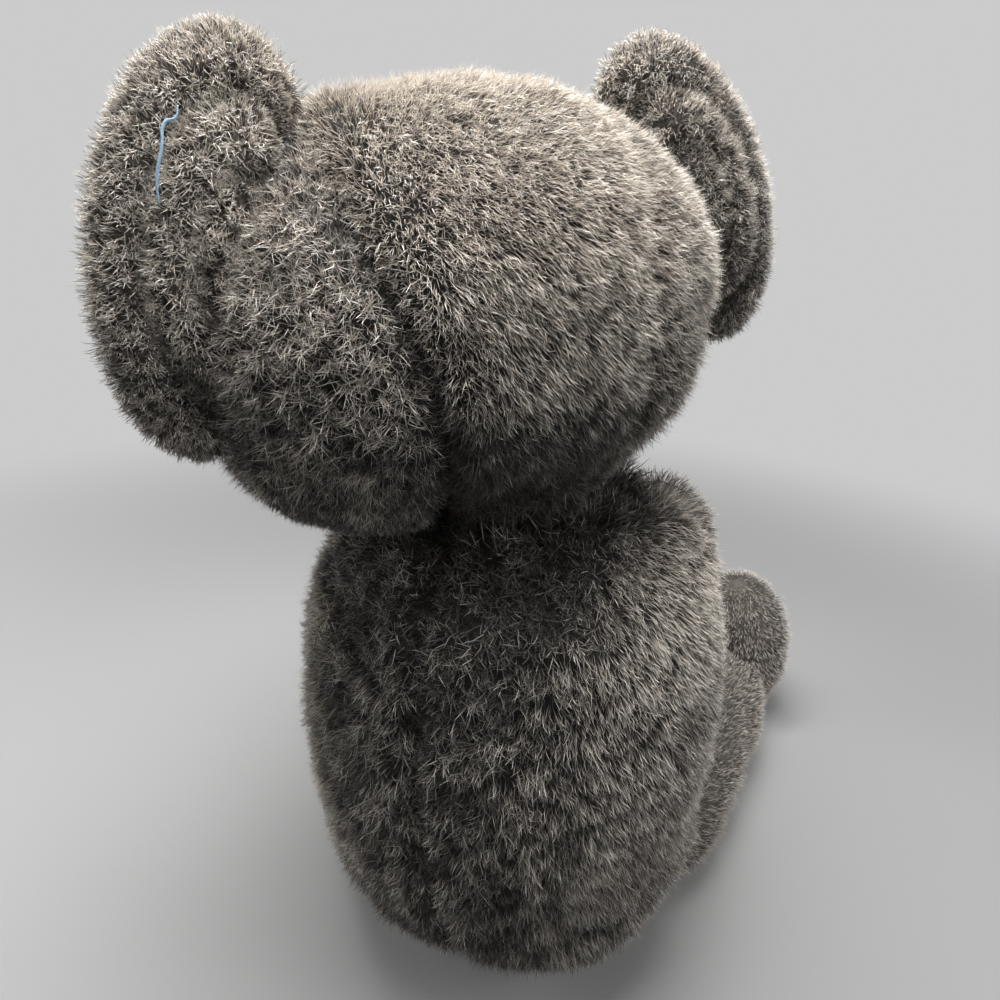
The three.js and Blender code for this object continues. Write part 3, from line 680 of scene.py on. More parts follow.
def pile_tree():
    """Geometry nodes for tufted strands on a skin that says how long, combed and thick they are."""
    if "pile" in bpy.data.node_groups:
        return bpy.data.node_groups["pile"]
    tree = bpy.data.node_groups.new("pile", "GeometryNodeTree")
    face = tree.interface
    for name, kind, default in (
        ("Geometry", "Geometry", None),
        ("Density", "Float", 500000.0),
        ("Strands", "Collection", None),
        ("Strand Radius", "Float", 0.15 * MM),
        ("Tuft Spacing", "Float", 6 * MM),
        ("Waywardness", "Float", 0.3),
        ("Tuft Lean", "Float", 0.72),
        ("Floor", "Float", 0.3 * MM),
        ("Seed", "Int", 1),
        ("Material", "Material", None),
    ):
        socket = face.new_socket(name, in_out="INPUT", socket_type="NodeSocket" + kind)
        if default is not None:
            socket.default_value = default
    face.new_socket("Geometry", in_out="OUTPUT", socket_type="NodeSocketGeometry")
    given = add_node(tree, "NodeGroupInput").outputs

    def first(kind, *inputs, **settings):
        return add_node(tree, kind, inputs, **settings).outputs[0]

    def value(operation, *inputs):
        return first("ShaderNodeMath", *inputs, operation=operation)

    def vector(operation, *inputs):
        node = add_node(tree, "ShaderNodeVectorMath", inputs, operation=operation)
        return node.outputs[1 if operation == "LENGTH" else 0]

    def scaled(direction, amount):
        return vector("SCALE", direction, None, None, amount)

    def xyz(*inputs):
        return first("ShaderNodeCombineXYZ", *inputs)

    def named(name, data_type="FLOAT"):
        return first("GeometryNodeInputNamedAttribute", name, data_type=data_type)

    def seed_after(steps):
        return value("ADD", given["Seed"], steps)

    def draw(output, data_type, inputs, identity, seed):
        inputs = [*inputs, *[None] * (7 - len(inputs)), identity, seed_after(seed)]
        node = add_node(tree, "FunctionNodeRandomValue", inputs, data_type=data_type)
        return node.outputs[output]

    def chance(limits, seed, identity=None):
        return draw(1, "FLOAT", [None, None, *limits], identity, seed)

    def chance_vector(seed):
        return draw(0, "FLOAT_VECTOR", [(-1, -1, -1), (1, 1, 1)], None, seed)

    def scattered(density, seed):
        inputs = [given["Geometry"], None, None, None, density, None, seed_after(seed)]
        node = add_node(tree, "GeometryNodeDistributePointsOnFaces", inputs,
                        distribute_method="RANDOM")
        return node.outputs

    here = first("GeometryNodeInputPosition")
    cover, length, tuftiness = named("cover"), named("length"), named("tuft")
    comb = named("comb", "FLOAT_VECTOR")

    strands = scattered(value("MULTIPLY", given["Density"], cover), 0.0)
    spacing_squared = value("MULTIPLY", given["Tuft Spacing"], given["Tuft Spacing"])
    grown_anywhere = value("GREATER_THAN", cover, 0.0)
    tufts = scattered(value("DIVIDE", grown_anywhere, spacing_squared), 1.0)

    wander = scaled(chance_vector(2.0), given["Waywardness"])
    tuft_way = vector("ADD", vector("ADD", tufts["Normal"], comb), wander)
    tuft_length = value("MULTIPLY", length, chance(TUFT_TIP_SHARES, 3.0))
    tuft_tip = vector("ADD", here, scaled(vector("NORMALIZE", tuft_way), tuft_length))
    nearest = first("GeometryNodeSampleNearest", tufts["Points"], here)

    def of_tuft(field):
        return first("GeometryNodeSampleIndex", tufts["Points"], field, nearest,
                     data_type="FLOAT_VECTOR")

    stray = scaled(chance_vector(4.0), given["Waywardness"])
    tuft_lean = value("MULTIPLY", tuftiness, given["Tuft Lean"])
    lean = scaled(of_tuft(chance_vector(12.0)), tuft_lean)
    upright = vector("ADD", strands["Normal"], comb)
    own_way = vector("NORMALIZE", vector("ADD", upright, vector("ADD", stray, lean)))
    tuft_height = chance(TUFT_HEIGHTS, 8.0, nearest)
    grown_length = value("MULTIPLY", length, tuft_height)
    own_length = value("MULTIPLY", grown_length, chance(STRAND_LENGTHS, 5.0))
    own_tip = vector("ADD", here, scaled(own_way, own_length))
    pull = value("MULTIPLY", tuftiness, chance(PULLS_TO_TUFT, 6.0))
    tip = add_node(tree, "ShaderNodeMix", [pull, None, None, None, own_tip, of_tuft(tuft_tip)],
                   data_type="VECTOR")
    reach = vector("SUBTRACT", tip.outputs[1], here)

    # A few strands are much lighter than the rest. Taller tufts are painted lighter and shorter
    # ones darker, as light and shade among the tufts, and the skin's shade field brings in the
    # painted light and shade that some pieces carry.
    rarely = value("POWER", chance((0.0, 1.0), 7.0), LIGHT_LOCK_RARITY)
    shade = value("ADD", named("shade"), value("MULTIPLY_ADD", rarely, *LOCK_SHADES))
    tuft_shade = value("MULTIPLY", tuftiness, value("MULTIPLY_ADD", tuft_height, *TUFT_SHADES))
    shade = value("MAXIMUM", value("ADD", shade, tuft_shade), SHADE_LIMITS[0])
    shade = value("MINIMUM", shade, SHADE_LIMITS[1])
    shaded = first("GeometryNodeStoreNamedAttribute", strands["Points"], None, "lock_shade", shade,
                   data_type="FLOAT")

    shapes = first("GeometryNodeCollectionInfo", given["Strands"], True, True)
    along = first("FunctionNodeAlignRotationToVector", None, 1.0, reach, axis="Z")
    facing = first("FunctionNodeAlignRotationToVector", along, 1.0, strands["Normal"],
                   axis="X", pivot_axis="Z")
    roll = first("FunctionNodeAxisAngleToRotation", (0, 0, 1), chance(STRAND_ROLLS, 9.0))
    rotated = first("FunctionNodeRotateRotation", facing, roll, rotation_space="LOCAL")
    width = value("MULTIPLY", given["Strand Radius"], chance(STRAND_WIDTHS, 10.0))
    curl = value("MULTIPLY", length, value("ADD", value("MULTIPLY", tuftiness, CURLS[0]), CURLS[1]))
    size = xyz(curl, width, vector("LENGTH", reach))
    pick = draw(2, "INT", [None, None, None, None, 0, len(CURL_SHARES) - 1], None, 11.0)
    grown = first("GeometryNodeInstanceOnPoints", shaded, None, shapes, True, pick, rotated, size)
    real = first("GeometryNodeRealizeInstances", grown)

    spot = add_node(tree, "ShaderNodeSeparateXYZ", [here]).outputs
    lifted = xyz(spot[0], spot[1], value("MAXIMUM", spot[2], given["Floor"]))
    settled = first("GeometryNodeSetPosition", real, None, lifted)
    map_point = xyz(named("lock_shade"), named("along"), 0.0)
    mapped = first("GeometryNodeStoreNamedAttribute", settled, None, "OFBake", map_point,
                   data_type="FLOAT2", domain="CORNER")
    smooth = first("GeometryNodeSetShadeSmooth", mapped)
    dyed = first("GeometryNodeSetMaterial", smooth, None, given["Material"])
    add_node(tree, "NodeGroupOutput", [dyed])
    return tree


def write_attribute(mesh, name, values, kind="FLOAT"):
    attribute = mesh.attributes.new(name, kind, "POINT")
    key = "vector" if kind == "FLOAT_VECTOR" else "value"
    attribute.data.foreach_set(key, np.asarray(values, np.float32).ravel())


def covered_area(mesh, cover):
    areas = np.empty(len(mesh.polygons))
    mesh.polygons.foreach_get("area", areas)
    shares = np.array([cover[list(face.vertices)].mean() for face in mesh.polygons])
    return float((areas * shares).sum())


def grow_pile(skin, name, kind, body, strands, cover, comb, length, shade, tuft,
              spacing=None, thinness=1.0, bends=2):
    """Grows grey or cream strands on a skin and finishes them as one plain piece."""
    sizes = pile_sizes()
    mesh = skin.data.copy()
    fields = {"cover": cover, "length": length, "shade": shade, "tuft": tuft}
    for key, values in fields.items():
        write_attribute(mesh, key, np.broadcast_to(values, len(mesh.vertices)))
    write_attribute(mesh, "comb", comb, "FLOAT_VECTOR")
    bed = bpy.data.objects.new(name + "_bed", mesh)
    bpy.context.scene.collection.objects.link(bed)
    modifier = bed.modifiers.new("pile", "NODES")
    modifier.node_group = pile_tree()
    material = pile_material(kind)
    asked = {
        "Density": strands / max(covered_area(mesh, cover), 1e-9),
        "Strands": strand_shapes(bends),
        "Strand Radius": sizes.strand_radius * thinness,
        "Tuft Spacing": spacing or sizes.tuft_spacing,
        "Waywardness": WAYWARDNESS,
        "Seed": sizes.seed + sum(name.encode()),
        "Material": material,
    }
    for item in modifier.node_group.interface.items_tree:
        if item.in_out == "INPUT" and item.name in asked:
            modifier[item.identifier] = asked[item.name]
    graph = bpy.context.evaluated_depsgraph_get()
    grown = bpy.data.meshes.new_from_object(bed.evaluated_get(graph))
    grown.name = name
    bpy.data.objects.remove(bed)
    bpy.data.meshes.remove(mesh)
    for key in (*fields, "comb", "along", "lock_shade"):
        if key in grown.attributes:
            grown.attributes.remove(grown.attributes[key])
    add_piece(name, grown, material, body, kind + "_plush")


# Torso

FAR_SIDE_SHARE = 0.32
UNDER_LIMB_LENGTH_SHARE = 0.45
UNDER_LIMB_COVER = 0.6
TORSO_TUFT_SPACING = 6.5 * MM
BACK_SEAM_MIDDLE_HEIGHT = TORSO.rise * 1.8
BACK_SEAM_LEAN_SHARE = 14 / 160
BACK_SEAM_DEPTH = 4 * MM
FOLD_DEPTH = 4 * MM
BELLY_SEAM_DEPTH = 1.5 * MM
FOLD_HEIGHT = 190 * MM
FOLD_SLOPE_SHARE = 0.27
FOLD_MIDDLE = -14 * MM
FOLD_HALF_WIDTH = 42 * MM
SEAT_TUCK = 6 * MM
ARM_FILLET = 8 * MM
LEG_FILLET = 9 * MM


def torso_mesh(shrink, **fineness):
    rows = egg_rows(shrunk(TORSO, shrink), **fineness)
    rows[..., 2] += TORSO_WIDEST_HEIGHT
    return mesh_of_rows("torso", rows)


def back_seam(points):
    """Distance from the seam down the middle of the back."""
    return points[:, 0] - (points[:, 2] - BACK_SEAM_MIDDLE_HEIGHT) * BACK_SEAM_LEAN_SHARE


def torso_shape(points):
    x, y, z = points.T
    back = ramp(y, 10, 50)
    seam = groove(back_seam(points), 5 * MM) * back
    fold_line = z - FOLD_HEIGHT + (x - FOLD_MIDDLE) * FOLD_SLOPE_SHARE
    fold = groove(fold_line, 6 * MM) * groove(x - FOLD_MIDDLE, FOLD_HALF_WIDTH) * back
    belly_seam = groove(x, 4 * MM) * ramp(-y, 10, 50)
    fillet = -SEAT_TUCK * (ramp(-z, -50, -5) * ramp(y, 10, 60))
    for side in SIDES.values():
        fillet += ARM_FILLET * nearness_to_limb(points, limb_on(side, ARM), 30 * MM) ** 2
        fillet += LEG_FILLET * nearness_to_limb(points, limb_on(side, LEG), 36 * MM) ** 2
    raised = lumps(points, 45, 3) * 3.0 * MM + fillet
    return raised - BACK_SEAM_DEPTH * seam - FOLD_DEPTH * fold - BELLY_SEAM_DEPTH * belly_seam


def far_side_thinning(y, low, high):
    """Sparser pile on the front, which the long pile of the back needs more than it does."""
    return FAR_SIDE_SHARE + (1 - FAR_SIDE_SHARE) * ramp(y, low, high)


def build_torso():
    mesh = torso_mesh(CLOTH_DEPTH)
    press(mesh, torso_shape)
    points = hold_between(mesh, ABOVE_FLOOR, NECK_HEIGHT - CLEAR_OF_NECK)
    normals = normals_of(mesh)
    skin = add_object("torso_skin", mesh, grained_material("grey_backing"))
    sizes = pile_sizes()

    x, y, z = points.T
    at_top = smooth_step(z, NECK_HEIGHT - 4 * MM, NECK_HEIGHT - 1 * MM)
    at_neck = (at_top > 0.5) & (np.hypot(x, y - NECK_BEHIND_MIDDLE) < 26 * MM)
    on_panel = (x / BELLY_HALF_WIDTH) ** 2 + ((z - BELLY_HEIGHT) / BELLY_HALF_HEIGHT) ** 2 < 0.92
    free = np.where(at_neck, 0.0, 1.0) * ramp(z, 2, 7)
    free = np.where(on_panel & (y < 0), 0, free)
    under_limb = np.zeros(len(points), bool)
    for side in SIDES.values():
        under_limb |= in_limb(points, limb_on(side, ARM), -6 * MM)
        under_limb |= in_limb(points, limb_on(side, LEG), -8 * MM)

    right = ramp(-x, 28, 68)
    down = directions(-0.35 * right + 0.1, 0, -1)
    from_neck = unit(directions(x, y - NECK_BEHIND_MIDDLE, 0))
    comb = combed(down, normals, 0.35 + 1.1 * right)
    comb = comb * (1 - at_top)[:, None] + from_neck * (0.9 * at_top)[:, None]
    tuft = 0.85 - 0.6 * right
    rows = lumps(points * np.array([0.5, 0.5, 1]), 8, 13)
    middle = groove(back_seam(points), 4 * MM) * ramp(y, 10, 50)
    shoulder = ramp(-x, 30, 70)
    # Painted light and shade: the lit right side, the right shoulder and the left flank are painted
    # lighter, and the seat, the groove of the back seam and the crease under the head darker. The
    # lumps and rows are the plush's own uneven tone.
    shade = (
        0.14
        + 0.3 * right
        + 0.16 * lumps(points, 30, 11)
        - 0.12 * ramp(-z, -110, -40)  # near the seat
        + 0.16 * rows * (1 - 0.6 * right)
        - 0.25 * middle
        + 0.42 * ramp(x, 20, 70)  # left flank
        + 0.42 * shoulder * ramp(z, 180, 235)
        - 0.15 * (1 - shoulder) * ramp(z, 205, 238)  # under the head
        # The front is painted lighter, lifting it out of the painted shade that the back carries.
        + 0.35 * ramp(-y, -5, 45)  # front
    )
    length = (
        sizes.grey_length
        * (1 + 0.14 * lumps(points, 14, 5) + 0.25 * rows)
        * (1 + 0.4 * at_top)
        * (0.45 + 0.55 * ramp(z, 5, 70))
        * (1 - 0.55 * middle)
        * np.where(under_limb, UNDER_LIMB_LENGTH_SHARE, 1)
    )
    thick = 1.75 * sizes.strands / covered_area(mesh, np.where(y > 0, free, 0))
    thinning = far_side_thinning(y, -36, 0) * np.where(under_limb, UNDER_LIMB_COVER, 1)
    for region, chosen in (
        ("back_left", (y > 0) & (x >= -8 * MM)),
        ("back_right", (y > 0) & (x < -8 * MM)),
        ("front", y <= 0),
    ):
        cover = np.where(chosen, free * thinning, 0)
        grow_pile(skin, "torso_pile_" + region, "grey", "torso", thick * covered_area(mesh, cover),
                  cover, comb, length, shade, tuft, spacing=TORSO_TUFT_SPACING)
    finish_padded(skin, "torso", "grey_plush", "torso_cover")


# Head

GUSSET_OFF_CENTRE = 9 * MM
SKULL_SEAM_DEPTH = 10 * MM
SKULL_SEAM_WIDTH = 5 * MM

# The gusset runs from the neck over the crown to the brow: half its width, in millimetres, at each
# angle round the head.
GUSSET_ANGLES = (-70, -24, 0, 17, 32, 50, 80, 120, 160, 200)
GUSSET_HALF_WIDTHS = (26, 30.5, 34.5, 39, 43, 45.5, 45, 38, 26, 18)

# Height, middle and width of the hills on the left of the head, in millimetres
LEFT_HILLS = (
    (1, (62, 22, -52), 40),
    (6, (56, 20, 66), 20),
    (9, (86, 40, 2), 36),
)
NECK_TUCK = 13 * MM
CHEEK_FLATNESS = 8 * MM


def seam_distance(points):
    """Distance outwards from the nearer of the gusset's two seams."""
    around = np.degrees(np.arctan2(points[:, 2], points[:, 1]))
    around = np.where(around < -120, around + 360, around)
    half_width = np.interp(around, GUSSET_ANGLES, GUSSET_HALF_WIDTHS) * MM
    return np.abs(points[:, 0] - GUSSET_OFF_CENTRE) - half_width


def off_face(points):
    return ramp(points[:, 1], -55, -25)


def skull_shape(points):
    x, y, z = points.T
    seam = groove(seam_distance(points), SKULL_SEAM_WIDTH) * off_face(points)
    seam = seam * (0.5 + 0.9 * ramp(-z, -20, 45)) * (1 - 0.6 * ramp(-x, 0, 20))
    hills = sum(height * MM * hill(points, middle, width) for height, middle, width in LEFT_HILLS)
    way = unit(points)
    tucked = smooth_step(way[:, 1], 0.1, 0.7) * smooth_step(-way[:, 2], 0.15, 0.6)
    tucked = tucked * (0.55 + 0.45 * ramp(-x, -60, -15))
    tucked = tucked * ramp(np.hypot(x, y - SKULL_BEFORE_NECK), 24, 44)
    flat_cheek = smooth_step(-way[:, 0], 0.45, 0.95) * smooth_step(-way[:, 2], -0.3, 0.4)
    raised = lumps(points, 42, 8) * 2.5 * MM - SKULL_SEAM_DEPTH * seam + hills
    return raised - NECK_TUCK * tucked - CHEEK_FLATNESS * flat_cheek


def build_head():
    mesh = mesh_of_rows("head", egg_rows(shrunk(SKULL, CLOTH_DEPTH)))
    press(mesh, skull_shape)
    local, normals = points_of(mesh), normals_of(mesh)
    sizes = pile_sizes()
    x, y, z = local.T
    from_seams = seam_distance(local)
    seam = groove(from_seams, 3.5 * MM) * off_face(local) * ramp(x, -30, 10) * ramp(-z, -62, -22)
    gusset = ramp(-from_seams, -3, 6)
    right = ramp(-(x - GUSSET_OFF_CENTRE), 0, 40)
    swept = np.maximum(gusset, right * 0.8)
    sweep = directions(-0.45, 0.3, -1.1 - 0.2 * right)
    hang = directions(0.35 * np.sign(x), 0.1, -0.8)
    way = sweep * swept[:, None] + hang * (1 - swept[:, None])
    by_seam = ramp(np.abs(from_seams), 2, 26) * (1 - right) + right
    lean = 0.25 + (0.1 + 1.15 * swept * ramp(z, -60, -10)) * by_seam
    comb = combed(way, normals, lean)
    tuft = 0.85 - 0.6 * swept * ramp(z, -50, 0)

    skull = np.array(skull_place)
    level = local @ skull[2, :3] + skull[2, 3]
    by_neck = 1 - smooth_step(level, NECK_HEIGHT, NECK_HEIGHT + 24 * MM)
    # Painted light and shade: the top of the head and the upper gusset are painted lighter, and the
    # seam grooves, the gusset's underside and the crease at the neck darker; the left panel is a
    # little darker. The lumps are the plush's own tone.
    shade = (
        0.28
        + 0.48 * ramp(z, -35, 32)
        + 0.12 * lumps(local, 28, 4)
        - 0.6 * seam
        - 0.04 * (1 - swept)
        - 0.36 * gusset * ramp(-z, 0, 34)
        + 0.28 * gusset * ramp(z, -20, 10)
        - 0.2 * by_neck
    )
    length = (
        sizes.grey_length
        * (1 - 0.8 * seam)
        * (1 + 0.14 * lumps(local, 14, 6))
        * (1 - 0.2 * ramp(z, 30, 70))
        * (0.8 + 0.2 * swept)
        * (1 - 0.45 * by_neck)
    )
    on_neck = (level < NECK_HEIGHT + 1.5 * MM) & (np.hypot(x, y - SKULL_BEFORE_NECK) < 42 * MM)
    free = np.where(on_neck, 0, 1 - 0.5 * seam)
    for side in SIDES.values():
        there = moved(local, ear_place(side).inverted())
        ear = spread(there, (EAR_HALF_WIDTH, EAR_HALF_THICKNESS, EAR_HALF_HEIGHT))
        free = np.where(ear < 0.8, 0, free)
        beside_ear = 1 - smooth_step(ear, 0.9, 1.7)
        # Painted shade in the crease where the ear meets the head
        shade = shade - 0.3 * beside_ear
        length = length * (1 - 0.35 * beside_ear)
    free = np.where(spread(local, MUZZLE_HALF_SIZES, MUZZLE_PLACE) < 0.95, 0, free)
    free = np.where(spread(local, np.array(NOSE_HALF_SIZES) + 2 * MM, NOSE_PLACE) < 1, 0, free)
    # The face is painted lighter, lifting it out of the painted shade of the lower head.
    shade = shade + 0.25 * ramp(-y, 10, 55)
    length = length * (1 - 0.45 * ramp(-y, 45, 80))
    for side in SIDES.values():
        away = np.linalg.norm(local - np.array(eye_place(side).translation), axis=1)
        free = np.where(away < 9 * MM, 0, free)
        length = length * (0.4 + 0.6 * ramp(away, 9, 26))

    place(mesh, skull_place)
    hold_between(mesh, low=NECK_HEIGHT + CLEAR_OF_NECK)
    skin = add_object("head_skin", mesh, grained_material("grey_backing"))
    behind = y > -20 * MM
    left = x >= GUSSET_OFF_CENTRE + 20 * MM
    high = z > 18 * MM
    thinning = far_side_thinning(y, -52, -18)
    for region, chosen, share in (
        ("left", behind & left, 0.96),
        ("crown", behind & ~left & high, 0.78),
        ("right", behind & ~left & ~high, 0.78),
        ("face", ~behind, None),  # as thick as the region before it
    ):
        cover = np.where(chosen, free * thinning, 0)
        area = covered_area(mesh, cover)
        strands = sizes.strands * share if share else thick * area
        thick = strands / area
        grow_pile(skin, "head_pile_" + region, "grey", "head", strands, cover,
                  turned(comb, skull_place), length, shade, tuft, thinness=0.68)
    finish_padded(skin, "head", "grey_plush", "head_cover")


def skull_reach(direction):
    height, power = (float(size) for size in halves(SKULL, direction.z))
    across = math.hypot(direction.x / SKULL.half_width, direction.y / SKULL.half_depth)
    return (across ** power + abs(direction.z / height) ** power) ** (-1 / power)


def eye_place(side):
    """The frame of an eye in the skull's space, with +Z out of the face."""
    level = math.cos(EYE_ABOVE_LEVEL)
    direction = Vector((side * math.sin(EYE_TO_SIDE) * level, -math.cos(EYE_TO_SIDE) * level,
                        math.sin(EYE_ABOVE_LEVEL)))
    spot = direction * skull_reach(direction)
    power = SKULL.rise_power
    across = math.hypot(spot.x / SKULL.half_width, spot.y / SKULL.half_depth) ** (power - 2)
    outwards = Vector((across * spot.x / SKULL.half_width ** 2,
                       across * spot.y / SKULL.half_depth ** 2,
                       abs(spot.z / SKULL.rise) ** (power - 1) / SKULL.rise)).normalized()
    return Matrix.Translation(spot) @ outwards.to_track_quat("Z", "Y").to_matrix().to_4x4()


# Ears

def ear_place(side):
    """The frame of an ear in the skull's space."""
    turn = Matrix.Rotation(side * EAR_SWEEP, 4, "Z") @ Matrix.Rotation(-side * EAR_LEAN, 4, "Y")
    return Matrix.Translation(on_side(EAR_PLACE, side)) @ turn


def behind_ear(points):
    return ramp(points[:, 1], 1, 6)


def ear_rows(points):
    """1 in the hollows behind a rolled rim and beside the row inside it, and 0 between them."""
    out = np.hypot(points[:, 0] / EAR_HALF_WIDTH, points[:, 2] / EAR_HALF_HEIGHT)
    return behind_ear(points) * (groove(out - 0.7, 0.08) + 0.8 * groove(out - 0.36, 0.07))


def gathered(points, side):
    """How far the ear's back is drawn in where it is gathered into the head's seam."""
    towards_head = smooth_step(-side * points[:, 0] / EAR_HALF_WIDTH, -0.1, 0.8)
    return EAR_GATHER_DEPTH * towards_head * behind_ear(points)


def rim_share(points):
    """0 in the middle of an ear and 1 at its rim."""
    share = (points[:, 0] / EAR_HALF_WIDTH) ** 2 + (points[:, 2] / EAR_HALF_HEIGHT) ** 2
    return np.clip(share, 0, 1)


def ear_mesh(part, name, side):
    inset = EAR_CLOTH_DEPTHS[name]
    height = EAR_HALF_HEIGHT - inset
    shape = Egg(EAR_HALF_WIDTH - inset, EAR_HALF_THICKNESS - inset / 2, height, height)
    mesh = mesh_of_rows("ear", egg_rows(shape, around=96, along=52))
    if part == "back":
        hold_between(mesh, low=EAR_HALF_GAP, axis=1)
        face_outwards(mesh)
        press(mesh, lambda points: -EAR_ROW_DEPTH * ear_rows(points) - gathered(points, side))
        hold_between(mesh, low=EAR_HALF_GAP, axis=1)
        return mesh
    front = points_of(mesh)[:, 1] < -EAR_HALF_GAP
    points = hold_between(mesh, high=-EAR_HALF_GAP, axis=1)
    bowl = -EAR_CUP_DEPTH * rim_share(points) - EAR_LINING_THICKNESS
    dished = np.minimum(-1.5 * MM, np.maximum(points[:, 1], bowl))
    points[:, 1] = np.where(front, dished, points[:, 1])
    set_points(mesh, points)
    face_outwards(mesh)
    return mesh


def build_ears():
    sizes = pile_sizes()
    for name, side in SIDES.items():
        matrix = skull_place @ ear_place(side)
        for part in ("back", "lining"):
            mesh = ear_mesh(part, name, side)
            points, normals = points_of(mesh), normals_of(mesh)
            x, y, z = points.T
            height = z / EAR_HALF_HEIGHT
            rim = rim_share(points)
            outward = directions(x / EAR_HALF_WIDTH, 0, height)
            from_skull = spread(moved(points, ear_place(side)), SKULL[:3])
            free = np.where(from_skull < 0.85, 0.0, 1.0)
            # The left ear has a fringe high up beside the head, and the right one at its foot.
            if side > 0:
                head_side = smooth_step(-side * x / EAR_HALF_WIDTH, -0.3, 0.5)
                fringe = head_side * smooth_step(height, -0.1, 0.5) * rim ** 2
            else:
                fringe = 0.8 * (1 - smooth_step(height, 0.2, 0.9)) * rim ** 2
            if part == "back":
                kind, tuft, strands = "grey", 0.7, int(sizes.strands * EAR_STRAND_SHARES[name])
                free = np.where(y < 2 * EAR_HALF_GAP, 0, free)
                way = outward * 0.8 + np.array([0, 0, -0.35])
                comb = combed(way, normals, 0.45 + 0.3 * rim)
                hollow = ear_rows(points)
                by_head = 1 - smooth_step(from_skull, 0.95, 1.35)
                # Painted light and shade: the top of the ear is painted lighter, and the hollows
                # between its rows and the crease beside the head darker. The lumps are its own
                # tone.
                shade = 0.72 + 0.27 * z / EAR_HALF_HEIGHT + 0.12 * lumps(points, 22, 9 + side)
                shade = shade - 0.25 * hollow - 0.35 * by_head
                length = sizes.grey_length * (0.68 - 0.3 * rim ** 2)
                length = length * (1 - 0.35 * hollow - 0.3 * by_head) * (1 - 0.3 * side * fringe)
            else:
                kind, tuft, strands = "cream", 0.35, sizes.strands // 8
                free = np.where((y > -2 * EAR_HALF_GAP) & (rim < 0.9), 0, free)
                comb = unit(outward + np.array([0, 0.4, 0])) * (0.25 + 1.6 * rim ** 2)[:, None]
                shade = 0.55 + 0.1 * lumps(points, 18, 2 + side)
                length = sizes.cream_length * (0.7 - 0.2 * rim ** 2 + 0.4 * fringe)
            place(mesh, matrix)
            backing = "short_pile_backing" if part == "back" else "cream_backing"
            skin = add_object(f"ear_{part}_skin_{name}", mesh, grained_material(backing))
            grow_pile(skin, f"ear_{part}_pile_{name}", kind, "head", strands, free,
                      turned(comb, matrix), length, shade, tuft, spacing=3 * MM, thinness=0.6,
                      bends=3)
            finish_padded(skin, "head", kind + "_plush", f"ear_{part}_{name}")


# Limbs

def add_limb_skin(part, name, mesh, seed):
    size, height = LIMB_LUMPS[part]
    press(mesh, lambda points: lumps(points, size, seed) * height * MM)
    limit = {"high": NECK_HEIGHT - CLEAR_OF_NECK} if part == "arm" else {"low": ABOVE_FLOOR}
    points = hold_between(mesh, **limit)
    return add_object(f"{part}_skin_{name}", mesh, grained_material("short_pile_backing")), points


def cover_limb(skin, part, name, free, way, length_share):
    """Grows the pile of an arm, leg or foot, and finishes its skin."""
    body = ("arm_" if part == "arm" else "leg_") + name
    points, normals = points_of(skin.data), normals_of(skin.data)
    free = free * ramp(points[:, 2], 2, 7)
    comb = combed(way, normals, 0.8)
    shade = 0.74 + 0.12 * lumps(points, 24, 12)
    length = pile_sizes().grey_length * 0.9 * (1 + 0.1 * lumps(points, 14, 6)) * length_share
    strands = int(pile_sizes().strands * LIMB_STRAND_SHARES[part])
    grow_pile(skin, f"{part}_pile_{name}", "grey", body, strands, free, comb, length, shade, 0.4)
    finish_padded(skin, body, "grey_plush", f"{part}_cover_{name}")


def build_arms():
    for name, side in SIDES.items():
        arm = limb_on(side, ARM, CLOTH_DEPTH)
        skin, points = add_limb_skin("arm", name, mesh_of_rows("arm", sausage_rows(arm)), 15 + side)
        in_body = in_torso(points, -4 * MM)
        way = np.array((arm.end - arm.start).normalized())
        cover_limb(skin, "arm", name, np.where(in_body, UNDER_LIMB_COVER, 1), way,
                   np.where(in_body, UNDER_LIMB_LENGTH_SHARE, 1))


def leg_direction(side):
    leg = limb_on(side, LEG)
    return (leg.end - leg.start).normalized()


def foot_frame(side):
    way = leg_direction(side)
    turn = Matrix.Rotation(math.atan2(way.x, -way.y), 4, "Z")
    return Matrix.Translation(on_side(FOOT_PLACE, side)) @ turn


def foot_mesh(side, grow=0.0):
    sizes = FOOT_HALF_SIZES + Vector((grow, grow, grow))
    mesh = mesh_of_rows("foot", egg_rows(Egg(*sizes, sizes.z), around=96, along=56))
    place(mesh, foot_frame(side))
    return mesh


def build_legs():
    for name, side in SIDES.items():
        leg = limb_on(side, LEG, CLOTH_DEPTH)
        mesh = mesh_of_rows("leg", sausage_rows(leg, along=80))
        skin, _ = add_limb_skin("leg", name, mesh, 21 + side)
        points = points_of(mesh)
        foot = (points - np.array(on_side(FOOT_PLACE, side))) / np.array(FOOT_HALF_SIZES)
        in_foot = foot[:, 1] ** 2 + foot[:, 2] ** 2 < 0.7
        in_body = in_torso(points, -4 * MM)
        free = np.where(in_body, UNDER_LIMB_COVER, 1)
        free = np.where(in_torso(points, -50 * MM) | in_foot, 0.0, free)
        forward = np.array(leg_direction(side))
        cover_limb(skin, "leg", name, free, forward + np.array([0, 0, -0.3]),
                   np.where(in_body, UNDER_LIMB_LENGTH_SHARE, 1))

        mesh = foot_mesh(side)
        skin, _ = add_limb_skin("foot", name, mesh, 27 + side)
        points, normals = points_of(mesh), normals_of(mesh)
        across, ahead, up = moved(points, foot_frame(side).inverted()).T
        by_pad = (across / SOLE_PAD_HALF_WIDTH) ** 2 + (up / SOLE_PAD_HALF_HEIGHT) ** 2
        in_leg = in_limb(points, limb_on(side, LEG), -6 * MM) & (points[:, 1] > FOOT_PLACE.y)
        free = np.where((by_pad < 0.94) & (ahead < 0) | in_leg, 0.0, 1.0)
        sole = smooth_step(normals @ forward, 0.3, 0.8)
        outward = unit(points - np.array(on_side(FOOT_PLACE, side))) * 3 * sole[:, None]
        way = DOWN + forward * 0.6 + outward
        cover_limb(skin, "foot", name, free, way, 1 - 0.6 * sole)


# Face

